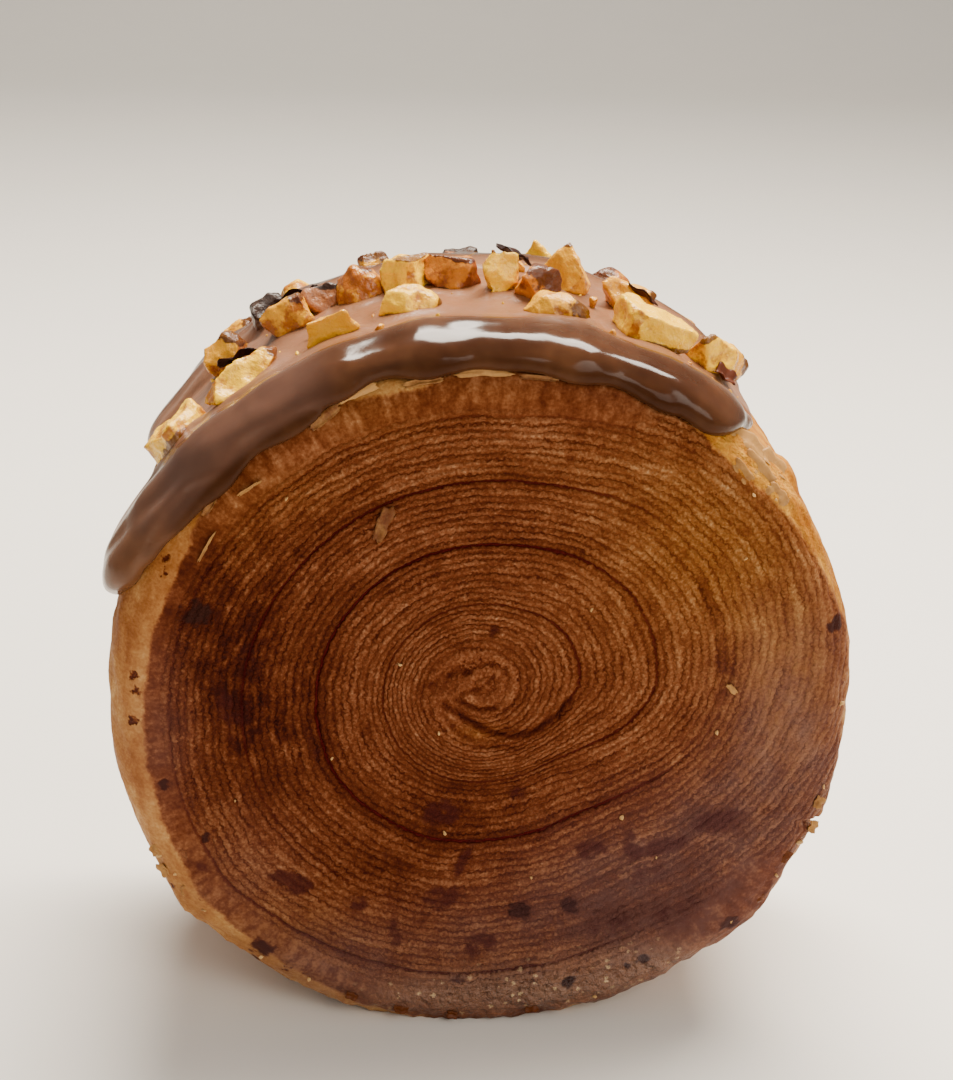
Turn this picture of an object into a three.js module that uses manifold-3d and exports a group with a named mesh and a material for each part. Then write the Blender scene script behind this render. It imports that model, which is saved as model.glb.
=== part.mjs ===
// Round croissant: one long laminated sheet rolled up and baked in a ring, so that it is a
// thick disc standing on its rim. The flat browned faces show the spiral of the sheet. The
// upper rim is dipped in chocolate, and chopped roasted nuts lie in the chocolate.
// Millimetres, +Z up. The disc's axis runs along Y, the face that shows most looks along -Y,
// and the origin is the middle of the flat spot that it stands on.

import * as THREE from 'three';
import { mergeVertices } from 'three/addons/utils/BufferGeometryUtils.js';
import Module from 'manifold-3d';

const wasm = await Module();
wasm.setup();

// Driving dimensions of the roll
const RADIUS = 50;
const THICKNESS = 46;
const SHOULDER = 6;
const REST_DEPTH = 2.4;
const AXIS_HEIGHT = RADIUS - REST_DEPTH;
const ROUND_STEPS = 88;
const OUTLINE_WAVE = 0.15;
const SKIN_WAVE = 0.25;
const CRAG = 0.35;

// The spiral seam that both faces show: its centre lies above the disc's own
const SPIRAL_X = -0.5;
const SPIRAL_Z = 5;
const SPIRAL_EDGE = 49.5;
const FIRST_SHARE = 0.245;
const WRAP_SHARE = 0.195;
const HOOK_SHARE = 0.42;
const STEP_FROM = 300 / 360;
const STEP_TO = 365 / 360;
const FIRST_TURN = -0.4;
const LAST_TURN = 3.945;
const SEAM_WIDTH = 1.1;
const SEAM_DEPTH = 1;
const FOLD_WIDTH = 0.8;
const FOLD_DEPTH = 0.6;
const SEAM_STEP = 5.6;

// Where the outer end of the sheet stops on the rim, degrees round from +X
const SHEET_END = -20;
const SHEET_END_DEPTH = 1.6;
const SHEET_END_WIDTH = 2.6;

// Chocolate and nuts
const GAP = 0.3;
const GLAZE_ROUND = 10;
const GLAZE_STEP = 4.6;
const GLAZE_MIDDLE = 0.35;
const NUT_BED = 2.2;
const NUT_SINK = 0.22;
const BIT_SINK = 0.4;
const BREAK_SHIFT = 0.12;
const BREAK_TURN = 24;
const NUT_SEED = 41;
const BIT_SEED = 97;

const HALF_RIM = THICKNESS / 2 - SHOULDER;
const SHOULDER_ARC = SHOULDER * Math.PI / 2;

const FINISH = {
  crust: new THREE.MeshStandardMaterial({ color: 0x8a4f22, roughness: 0.75, metalness: 0 }),
  chocolate: new THREE.MeshStandardMaterial({ color: 0x4a3026, roughness: 0.25, metalness: 0 }),
  cream: new THREE.MeshStandardMaterial({ color: 0xe3c68b, roughness: 0.6, metalness: 0 }),
  golden: new THREE.MeshStandardMaterial({ color: 0xc98f45, roughness: 0.6, metalness: 0 }),
  skin: new THREE.MeshStandardMaterial({ color: 0x6a3a22, roughness: 0.65, metalness: 0 }),
};

// One seeded draw after another, from 0 to 1
function seeded(seed) {
  let state = seed;
  return () => {
    state = (state * 1664525 + 1013904223) % 4294967296;
    return state / 4294967296;
  };
}

function smooth(low, high, value) {
  const t = THREE.MathUtils.clamp((value - low) / (high - low), 0, 1);
  return t * t * (3 - 2 * t);
}

// A round hump of height 1 about one angle, in degrees
function hump(angle, middle, spread) {
  return Math.exp(-1 * (((angle - middle + 540) % 360 - 180) / spread) ** 2);
}

// The same shape with its shared corners merged
function joined(geometry) {
  const bare = geometry.clone();
  bare.deleteAttribute('normal');
  bare.deleteAttribute('uv');
  return mergeVertices(bare, 1e-4);
}

// A closed geometry as a solid, its faces turned outwards
function toSolid(geometry) {
  const merged = joined(geometry);
  const position = merged.getAttribute('position');
  const corners = [new THREE.Vector3(), new THREE.Vector3(), new THREE.Vector3()];
  const triangles = [];
  let volume = 0;
  for (let i = 0; i < merged.index.count; i += 3) {
    const [a, b, c] = [0, 1, 2].map((k) => merged.index.getX(i + k));
    if (a === b || b === c || c === a) continue;
    [a, b, c].forEach((corner, k) => corners[k].fromBufferAttribute(position, corner));
    volume += corners[0].dot(corners[1].clone().cross(corners[2]));
    triangles.push([a, b, c]);
  }
  const outward = volume > 0 ? triangles : triangles.map(([a, b, c]) => [a, c, b]);
  return new wasm.Manifold(new wasm.Mesh({
    numProp: 3,
    vertProperties: Float32Array.from(position.array),
    triVerts: Uint32Array.from(outward.flat()),
  }));
}

function toMesh(name, solid, material) {
  const data = solid.getMesh();
  const geometry = new THREE.BufferGeometry();
  geometry.setAttribute('position', new THREE.BufferAttribute(data.vertProperties, 3));
  geometry.setIndex(new THREE.BufferAttribute(data.triVerts, 1));
  geometry.computeVertexNormals();
  const mesh = new THREE.Mesh(geometry, material);
  mesh.name = name;
  return mesh;
}

function largest(solid) {
  return solid.decompose().reduce((best, piece) => (piece.volume() > best.volume() ? piece : best));
}

// Moves every corner of a geometry to where `place` puts it
function reshaped(geometry, place) {
  const position = geometry.getAttribute('position');
  const corner = new THREE.Vector3();
  for (let i = 0; i < position.count; i += 1) {
    corner.fromBufferAttribute(position, i);
    place(corner);
    position.setXYZ(i, corner.x, corner.y, corner.z);
  }
  return geometry;
}

// The rim's own coordinates: `round` is the angle from the top towards +X, `across` the way
// over the rim from its middle, along the shoulders and down the faces, negative to the front
function onRoll(round, across) {
  const side = Math.sign(across) || 1;
  const bend = THREE.MathUtils.clamp((Math.abs(across) - HALF_RIM) / SHOULDER, 0, Math.PI / 2);
  const down = Math.max(Math.abs(across) - HALF_RIM - SHOULDER_ARC, 0);
  const radius = RADIUS - SHOULDER + SHOULDER * Math.cos(bend) - down;
  const flat = Math.min(Math.abs(across), HALF_RIM);
  const depth = side * (flat + SHOULDER * Math.sin(bend));
  const [sin, cos] = [Math.sin(round), Math.cos(round)];
  return {
    point: new THREE.Vector3(radius * sin, depth, radius * cos),
    normal: new THREE.Vector3(Math.cos(bend) * sin, side * Math.sin(bend), Math.cos(bend) * cos),
    along: new THREE.Vector3(cos, 0, -sin),
  };
}

// Where the rim bulges or lies flatter: degrees from +X, spread in degrees and height
const SWELLS = [[-40, 9, 1], [216, 6, 0.9], [2, 14, -0.5], [176, 10, -0.5], [197, 6, -0.4]];

// Uneven baking: how far the rim stands out at an angle from +X
function outlineWave(angle) {
  const degrees = THREE.MathUtils.radToDeg(angle);
  const ripple = Math.sin(2 * angle + 0.4) + 0.8 * Math.sin(3 * angle - 1.1)
    + 0.6 * Math.sin(7 * angle + 0.7) + 0.4 * Math.sin(13 * angle);
  const swell = SWELLS.reduce((sum, [at, spread, height]) => sum + height * hump(degrees, at, spread), 0);
  return OUTLINE_WAVE * ripple + swell;
}

// The bare roll as a lathed drum with round shoulders, grown by `grow` on every side
function rollForm(grow) {
  const profile = [new THREE.Vector2(0, -THICKNESS / 2 - grow)];
  const face = RADIUS - SHOULDER;
  const corner = (sign, k) => new THREE.Vector2(
    face + (SHOULDER + grow) * Math.sin(k * Math.PI / 8),
    sign * (HALF_RIM + (SHOULDER + grow) * Math.cos(k * Math.PI / 8)),
  );
  for (let k = 0; k <= 4; k += 1) profile.push(corner(-1, k));
  for (const y of [-HALF_RIM / 3, HALF_RIM / 3]) profile.push(new THREE.Vector2(RADIUS + grow, y));
  for (let k = 4; k >= 0; k -= 1) profile.push(corner(1, k));
  profile.push(new THREE.Vector2(0, THICKNESS / 2 + grow));
  return reshaped(new THREE.LatheGeometry(profile, ROUND_STEPS), (p) => {
    const radius = Math.hypot(p.x, p.z);
    if (radius < 1e-6) return;
    const angle = Math.atan2(p.z, p.x);
    const edge = smooth(0.5, 1, radius / RADIUS);
    const rim = smooth(0.9, 0.98, radius / RADIUS);
    const skin = SKIN_WAVE * Math.sin(5 * angle + p.y * 0.21) * Math.cos(9 * angle - p.y * 0.13);
    const crag = CRAG * Math.sin(31 * angle + 1.7 * p.y) * Math.sin(17 * angle);
    const bulge = (outlineWave(angle) * edge + (skin + crag * 0.5) * rim) / radius;
    p.x *= 1 + bulge;
    p.z *= 1 + bulge;
  });
}

// How many sheets lie inside the seam after some turns: the sheet follows round the roll for
// most of a turn and steps out by its own thickness on the lower right, more evenly inside
function sheetStep(turn, share) {
  const wraps = Math.floor(turn - STEP_TO + 1);
  const stepped = wraps + smooth(STEP_FROM, STEP_TO, turn - wraps);
  return THREE.MathUtils.lerp(turn, stepped, smooth(0.12, 0.32, share));
}

// The sheets bulge towards the upper right and are pressed together at the bottom
function pressed(turn) {
  const angle = 360 * (turn - Math.floor(turn));
  return 1 + 0.11 * hump(angle, 32, 35) + 0.02 * hump(angle, 205, 30) - 0.03 * hump(angle, 285, 30);
}

// The seam's distance from the spiral's centre, as a share of the way to the outline
function seamShare(turn, offset) {
  if (turn < 0) return FIRST_SHARE + HOOK_SHARE * turn;
  let share = FIRST_SHARE;
  for (let i = 0; i < 40; i += 1) {
    const next = pressed(turn) * (FIRST_SHARE + WRAP_SHARE * (sheetStep(turn, share) + offset));
    share = 0.5 * (share + next);
  }
  return share;
}

// One line of the spiral on a face, `offset` wraps outside the seam
class SpiralLine extends THREE.Curve {
  constructor(first, last, offset, depth) {
    super();
    Object.assign(this, { first, last, offset, depth });
  }

  getPoint(t, target = new THREE.Vector3()) {
    const turn = THREE.MathUtils.lerp(this.first, this.last, t);
    const angle = 2 * Math.PI * turn;
    const [cos, sin] = [Math.cos(angle), Math.sin(angle)];
    const lean = SPIRAL_X * cos + SPIRAL_Z * sin;
    const beyond = SPIRAL_X ** 2 + SPIRAL_Z ** 2 - SPIRAL_EDGE ** 2;
    const reach = Math.sqrt(lean ** 2 - beyond) - lean;
    const share = Math.min(seamShare(turn, this.offset), 1.03);
    return target.set(SPIRAL_X + share * reach * cos, this.depth, SPIRAL_Z + share * reach * sin);
  }
}

// A V groove along a line of the spiral, open to the outside of the face at `side`
function groove(line, side, width, depth) {
  const open = 1.5;
  const flare = width / 2 * (depth + open) / depth;
  const section = new THREE.Shape([
    new THREE.Vector2(side * depth, 0),
    new THREE.Vector2(-side * open, -flare),
    new THREE.Vector2(-side * open, flare),
  ]);
  const steps = Math.ceil(line.getLength() / SEAM_STEP);
  return toSolid(new THREE.ExtrudeGeometry(section, { extrudePath: line, steps, curveSegments: 1 }));
}

// Both faces carry the same spiral, because the sheet runs through from face to face
function faceGrooves() {
  const cuts = [];
  for (const side of [-1, 1]) {
    const depth = side * (THICKNESS / 2 - 0.1);
    cuts.push(groove(new SpiralLine(FIRST_TURN, LAST_TURN, 0, depth), side, SEAM_WIDTH, SEAM_DEPTH));
    cuts.push(groove(new SpiralLine(0.1, LAST_TURN - 1, 0.5, depth), side, FOLD_WIDTH, FOLD_DEPTH));
  }
  return cuts;
}

// The step across the rim where the outer end of the sheet stops
function sheetEnd() {
  const wedge = new THREE.Shape([
    new THREE.Vector2(RADIUS - SHEET_END_DEPTH, -0.3),
    new THREE.Vector2(RADIUS + 2, -SHEET_END_WIDTH),
    new THREE.Vector2(RADIUS + 2, 0.6),
  ]);
  const bar = new THREE.ExtrudeGeometry(wedge, { depth: THICKNESS + 4, bevelEnabled: false });
  bar.translate(0, 0, -THICKNESS / 2 - 2);
  bar.rotateX(Math.PI / 2);
  bar.rotateY(-THREE.MathUtils.degToRad(SHEET_END));
  return toSolid(bar);
}

// Flakes that stand off the edges of the faces: round angle, across, length, width, lift
const FLAKES = [
  [98, -23, 6, 3.2, 0.9], [106, -22.5, 5, 3, 1], [111, -20, 7, 3.4, 1.1], [117, -23, 5, 2.6, 0.8],
  [126, -22, 5.5, 3, 0.9], [-113, -22, 6, 3, 0.8], [-124, -21, 7, 3, 0.9], [-133, -22.5, 5, 2.6, 0.8],
  [104, 22, 6, 3, 0.9], [-104, 22.5, 7, 3.2, 1], [-128, 22, 5.5, 3, 0.8], [66, 21.5, 6, 3, 0.8],
];

// A raised blister of thin crust beside the chocolate's right end
const BLISTER = { round: 50, across: -15, length: 7, width: 5.5, lift: 1.5 };

// A flattened ball lying on the roll, its long side round the rim
function pad(round, across, length, width, lift) {
  const { point, normal, along } = onRoll(THREE.MathUtils.degToRad(round), across);
  const side = new THREE.Vector3().crossVectors(normal, along);
  const shape = new THREE.SphereGeometry(1, 8, 5);
  shape.scale(length / 2, width / 2, lift);
  shape.applyMatrix4(new THREE.Matrix4().makeBasis(along, side, normal).setPosition(point));
  return toSolid(shape);
}

function croissantRoll() {
  let roll = toSolid(rollForm(0));
  for (const flake of FLAKES) roll = roll.add(pad(...flake));
  roll = roll.add(pad(BLISTER.round, BLISTER.across, BLISTER.length, BLISTER.width, BLISTER.lift));
  for (const cut of [...faceGrooves(), sheetEnd()]) roll = roll.subtract(cut);
  const table = new THREE.BoxGeometry(3 * RADIUS, 3 * THICKNESS, RADIUS);
  table.translate(0, 0, -AXIS_HEIGHT - RADIUS / 2);
  return largest(roll.subtract(toSolid(table))).simplify(0.02);
}

// The flows of chocolate, a saddle over the rim, the lip on the front shoulder and the lip on
// the rear one: degrees round from the top, middle and half width across the rim and height
// over the roll, each at the left end and beyond, length of the round ends, and fullness
const FLOWS = [
  { from: -59, to: 44.5, middle: [0, 0], half: [18, 19], high: [2.1, 2.1], end: 7, full: 0.3 },
  { from: -73, to: 39.5, middle: [-14.8, -16.9], half: [6.2, 5.6], high: [3.6, 2.9], end: 6, full: 0.6 },
  { from: -63, to: 45, middle: [16.5, 16.5], half: [6.2, 6], high: [3.7, 3], end: 6, full: 0.6 },
];

// A long round-ended ball laid along the rim, as wide and high as the flow says
function flowForm(flow, grow) {
  const [from, to] = [flow.from, flow.to].map(THREE.MathUtils.degToRad);
  const ends = 2 * flow.end / ((to - from) * RADIUS);
  const straight = 2 / ends - 2;
  const steps = Math.ceil((to - from) * RADIUS / GLAZE_STEP);
  const capsule = joined(new THREE.CapsuleGeometry(1, straight, 3, GLAZE_ROUND, steps));
  return toSolid(reshaped(capsule, (p) => {
    const t = (p.y + straight / 2 + 1) / (straight + 2);
    const round = THREE.MathUtils.lerp(from, to, t);
    const wave = Math.sin(round * 19 + flow.middle[0]) + 0.6 * Math.sin(round * 31 + 1);
    const middle = THREE.MathUtils.lerp(flow.middle[0], flow.middle[1], smooth(0, 0.35, t));
    const half = THREE.MathUtils.lerp(flow.half[0], flow.half[1], smooth(0, 0.35, t)) + 0.45 * wave;
    const high = THREE.MathUtils.lerp(flow.high[0], flow.high[1], smooth(0, 0.4, t)) + 0.15 * wave;
    const fuller = Math.sign(p.z) * Math.abs(p.z) ** flow.full;
    const lift = GLAZE_MIDDLE * high + fuller * ((1 - GLAZE_MIDDLE) * high + grow);
    const over = grow * Math.sign(p.y) * Math.max(Math.abs(p.y) - straight / 2, 0) / RADIUS;
    const { point, normal } = onRoll(round + over, middle + p.x * (half + grow));
    p.copy(point).addScaledVector(normal, lift);
  }));
}

function glazeForm(grow) {
  return FLOWS.map((flow) => flowForm(flow, grow)).reduce((all, flow) => all.add(flow));
}

// How the kinds of nut pieces are broken out of an uneven ball: each flat break faces `yaw`
// degrees round from the piece's length and `pitch` degrees up, at a share of the ball's radius
const BREAKS = {
  half: [[0, -90, 0.1], [170, 30, 0.85]],
  chunk: [[15, 10, 0.6], [130, 20, 0.45], [250, 25, 0.55], [60, 75, 0.6], [190, -20, 0.6]],
  slab: [[0, 84, 0.4], [40, -80, 0.4], [95, 8, 0.6], [215, 0, 0.7], [320, 12, 0.65]],
  sliver: [[90, 40, 0.25], [270, 35, 0.4], [10, 35, 0.8], [200, 20, 0.75], [180, -60, 0.5]],
  cone: [[0, 38, 0.42], [125, 32, 0.4], [245, 35, 0.5], [60, -80, 0.7]],
  chip: [[20, 5, 0.3], [140, 10, 0.3], [262, 0, 0.35], [80, 70, 0.4], [0, -80, 0.4]],
};

// A piece of chopped nut of one of those kinds, as long, wide and high as it is given
function nutForm(draw, kind, size) {
  const ball = joined(new THREE.IcosahedronGeometry(1, 1));
  let piece = toSolid(reshaped(ball, (p) => p.multiplyScalar(0.93 + 0.14 * draw())));
  for (const [yaw, pitch, share] of BREAKS[kind]) {
    const block = new THREE.BoxGeometry(3, 3, 3);
    block.translate(1.5 + share + BREAK_SHIFT * (draw() - 0.5), 0, 0);
    block.rotateY(THREE.MathUtils.degToRad(-pitch - BREAK_TURN * (draw() - 0.5)));
    block.rotateZ(THREE.MathUtils.degToRad(yaw + BREAK_TURN * (draw() - 0.5)));
    piece = piece.subtract(toSolid(block));
  }
  const { min, max } = piece.boundingBox();
  const middle = min.map((low, k) => -0.5 * (low + max[k]));
  return piece.translate(middle).scale(size.map((length, k) => length / (max[k] - min[k])));
}

// Sets a piece on the chocolate: `spin` turns it on the surface and `lean` tips it
function setDown(piece, round, across, rise, spin, lean) {
  const { point, normal, along } = onRoll(THREE.MathUtils.degToRad(round), across);
  const side = new THREE.Vector3().crossVectors(normal, along);
  const place = new THREE.Matrix4().makeBasis(along, side, normal);
  place.setPosition(point.addScaledVector(normal, rise));
  place.multiply(new THREE.Matrix4().makeRotationZ(THREE.MathUtils.degToRad(spin)));
  place.multiply(new THREE.Matrix4().makeRotationY(THREE.MathUtils.degToRad(lean)));
  return piece.transform(place.toArray());
}

// Chopped nuts in the order that they lie, left to right: degrees round from the top, across,
// length, width, height, spin, lean, kind and tone
const NUTS = [
  [-49, -11.5, 9.6, 6.4, 4.4, 4, 0, 'slab', 'cream'],
  [-40.8, 6.5, 6.6, 6, 5.6, 40, 0, 'chunk', 'golden'],
  [-36.8, -10, 12, 5, 4.6, 26, 0, 'sliver', 'cream'],
  [-29.5, 3.2, 6.8, 6, 5.4, 0, 0, 'chunk', 'golden'],
  [-33.5, 13, 6.4, 5.6, 5, 60, 0, 'chunk', 'skin'],
  [-23.2, -9, 7.6, 6, 4.4, 10, 0, 'chip', 'golden'],
  [-24.2, 6, 5.8, 5, 4.6, 30, 0, 'chunk', 'skin'],
  [-18.2, 5, 7.8, 7, 5.8, 0, 0, 'half', 'golden'],
  [-11.6, -6.6, 9, 6, 4.6, 0, 0, 'half', 'cream'],
  [-10.8, 3.5, 7.4, 5, 5.4, 20, 10, 'slab', 'cream'],
  [-5, 3.2, 8.4, 6, 5.6, -10, 0, 'chunk', 'skin'],
  [1.4, -1.5, 5, 4.6, 7.8, 0, 15, 'sliver', 'cream'],
  [6.6, -3.4, 6.4, 5.8, 6, 30, 0, 'chunk', 'skin'],
  [11.8, 5.5, 7.4, 7, 8.2, 0, 0, 'cone', 'golden'],
  [9.2, -11.6, 9.2, 5.4, 4.4, -4, 0, 'half', 'golden'],
  [20.6, 3.5, 7.6, 6.2, 5, 0, 0, 'chunk', 'golden'],
  [23, -9.2, 12, 7.8, 5, -18, 0, 'slab', 'cream'],
  [33.8, -4.4, 7.4, 6.2, 5.6, 30, 0, 'chunk', 'cream'],
  [39.8, 5.5, 5.8, 5.2, 4.6, 50, 0, 'chunk', 'golden'],
];

// The rear of the rim carries nuts of the same kind, spread by rule
const REAR_NUTS = { count: 7, from: -42, to: 36, across: 21.5 };

function rearNuts() {
  const draw = seeded(NUT_SEED);
  const kinds = ['chunk', 'half', 'slab', 'chunk'];
  const tones = ['golden', 'cream', 'golden', 'skin', 'cream'];
  return Array.from({ length: REAR_NUTS.count }, (_, k) => {
    const round = THREE.MathUtils.lerp(REAR_NUTS.from, REAR_NUTS.to, k / (REAR_NUTS.count - 1));
    const across = REAR_NUTS.across + 1.6 * (draw() - 0.5);
    const length = 5.5 + 2.5 * draw();
    const [kind, tone] = [kinds[k % kinds.length], tones[k % tones.length]];
    return [round, across, length, length * 0.75, length * 0.56, 180 * draw(), 0, kind, tone];
  });
}

// The nuts as meshes, and with each the room that it and a gap all round it take
function layNuts(glazeReach) {
  const draw = seeded(NUT_SEED);
  const rooms = [];
  const meshes = [];
  for (const [round, across, length, width, height, spin, lean, kind, tone] of [...NUTS, ...rearNuts()]) {
    const size = [length, width, height];
    const rise = NUT_BED + height * (0.5 - NUT_SINK);
    const form = nutForm(draw, kind, size);
    let nut = setDown(form, round, across, rise, spin, lean).subtract(glazeReach);
    for (const room of rooms) nut = nut.subtract(room);
    const wider = form.scale(size.map((side) => 1 + 2.6 * GAP / side));
    rooms.push(setDown(wider, round, across, rise, spin, lean));
    const name = `nut_${String(meshes.length + 1).padStart(2, '0')}`;
    meshes.push(toMesh(name, largest(nut), FINISH[tone]));
  }
  return { meshes, rooms };
}

// Small bits of nut that stick in the chocolate: degrees round, across and size
const BITS = [
  [-27.8, 15.5, 3.6], [-1, 4, 2.6], [6, 11.5, 3.2], [27.5, 3.5, 3.4], [29.5, 8, 3.2],
  [-16, -13.5, 2.4], [-43.5, -5, 2.6], [17, -14.5, 2.2], [29, -13, 2.6], [-26, -4, 2.6],
  [-37.5, -3, 2.8], [16, 0, 2.8], [36, 1.5, 2.6], [-50, 3, 2.8], [-3, 12.5, 3], [-18, 14, 3],
];

function glazeWithBits(rollReach, rooms) {
  const draw = seeded(BIT_SEED);
  let glaze = glazeForm(0);
  for (const [round, across, size] of BITS) {
    const form = toSolid(new THREE.IcosahedronGeometry(1, 0)).scale([size / 2, size / 2.6, size / 2.8]);
    const rise = NUT_BED + size * (0.5 - BIT_SINK);
    let bit = setDown(form, round, across, rise, 180 * draw(), 40 * draw());
    for (const room of rooms) bit = bit.subtract(room);
    glaze = glaze.add(bit);
  }
  return largest(glaze.subtract(rollReach));
}

const croissant = new THREE.Group();
const nuts = layNuts(glazeForm(GAP));
const glaze = glazeWithBits(toSolid(rollForm(GAP)), nuts.rooms);
croissant.add(toMesh('croissant_roll', croissantRoll(), FINISH.crust));
croissant.add(toMesh('chocolate_glaze', glaze, FINISH.chocolate));
croissant.add(...nuts.meshes);
croissant.position.z = AXIS_HEIGHT;

export default croissant;
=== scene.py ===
"""Round croissant, dressed for its picture.

A laminated roll stands on its rim: both flat faces show the browned edges of the rolled sheet,
milk chocolate lies over its upper rim, and chopped roasted nuts lie in the chocolate.

Sizes are millimetres in the roll's own axes: X to the right, Y to the rear, Z up, from the middle
of the disc. They become metres, from the flat spot that the roll stands on, when a mesh is made.
On the rim, `around` is degrees from the top towards the right, and `across` is the way over the
rim from its middle, along the shoulder and down the face, negative towards the front.
"""
from __future__ import annotations

import logging
import math
from dataclasses import dataclass, field
from enum import Enum

import bmesh
import bpy
import numpy as np
from mathutils import Matrix, Vector
from mathutils.bvhtree import BVHTree


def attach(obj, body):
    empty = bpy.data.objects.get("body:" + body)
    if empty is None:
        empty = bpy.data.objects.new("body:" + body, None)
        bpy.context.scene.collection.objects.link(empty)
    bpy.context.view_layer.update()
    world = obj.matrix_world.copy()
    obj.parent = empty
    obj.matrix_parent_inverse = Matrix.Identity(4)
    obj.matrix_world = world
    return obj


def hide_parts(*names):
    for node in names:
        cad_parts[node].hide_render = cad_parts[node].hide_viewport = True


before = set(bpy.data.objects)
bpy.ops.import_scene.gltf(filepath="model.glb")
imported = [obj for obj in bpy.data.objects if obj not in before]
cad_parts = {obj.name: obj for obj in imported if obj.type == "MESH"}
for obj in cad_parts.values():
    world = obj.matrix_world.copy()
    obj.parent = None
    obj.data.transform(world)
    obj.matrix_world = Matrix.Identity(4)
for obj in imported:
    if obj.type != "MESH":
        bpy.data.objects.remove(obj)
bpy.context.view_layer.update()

LOG = logging.getLogger("croissant")
MM = 0.001
WELD = 0.002 * MM
HALVES = (0.5, 0.5, 0.5)
BODY = "root"

Thing = bpy.types.Object
Mesh = bpy.types.Mesh
Material = bpy.types.Material
Tree = bpy.types.NodeTree
Node = bpy.types.Node
Socket = bpy.types.NodeSocket
Number = float | np.ndarray
Value = Socket | float | tuple
Triple = tuple[float, float, float]


def tint(code: str) -> tuple[float, float, float, float]:
    """Turns a screen colour into the linear colour that a shader takes.

    Args:
        code: Six hex digits of the colour as seen on a screen.

    Returns:
        Linear red, green and blue, and an alpha of 1.
    """
    channels = [int(code[k:k + 2], 16) / 255 for k in (0, 2, 4)]
    linear = [c / 12.92 if c <= 0.04045 else ((c + 0.055) / 1.055) ** 2.4 for c in channels]
    return (*linear, 1.0)


def smooth(low: Number, high: Number, value: Number) -> Number:
    """Runs from 0 at low to 1 at high, flat at both ends.

    Args:
        low: Where it starts to rise.
        high: Where it has risen.
        value: Where it is read.

    Returns:
        The height there, from 0 to 1.
    """
    t = np.clip((value - low) / (high - low), 0.0, 1.0)
    return t * t * (3 - 2 * t)


def blend(a: Number, b: Number, t: Number) -> Number:
    """The value a share t of the way from a to b."""
    return a + (b - a) * t


def cos_sin(degrees: float) -> tuple[float, float]:
    """Cosine and sine of an angle in degrees."""
    return math.cos(math.radians(degrees)), math.sin(math.radians(degrees))


def hump(angle: Number, middle: float, spread: float) -> Number:
    """A round hump of height 1 about one angle, in degrees."""
    return np.exp(-(((angle - middle + 540) % 360 - 180) / spread) ** 2)


# Shape of the roll


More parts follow.
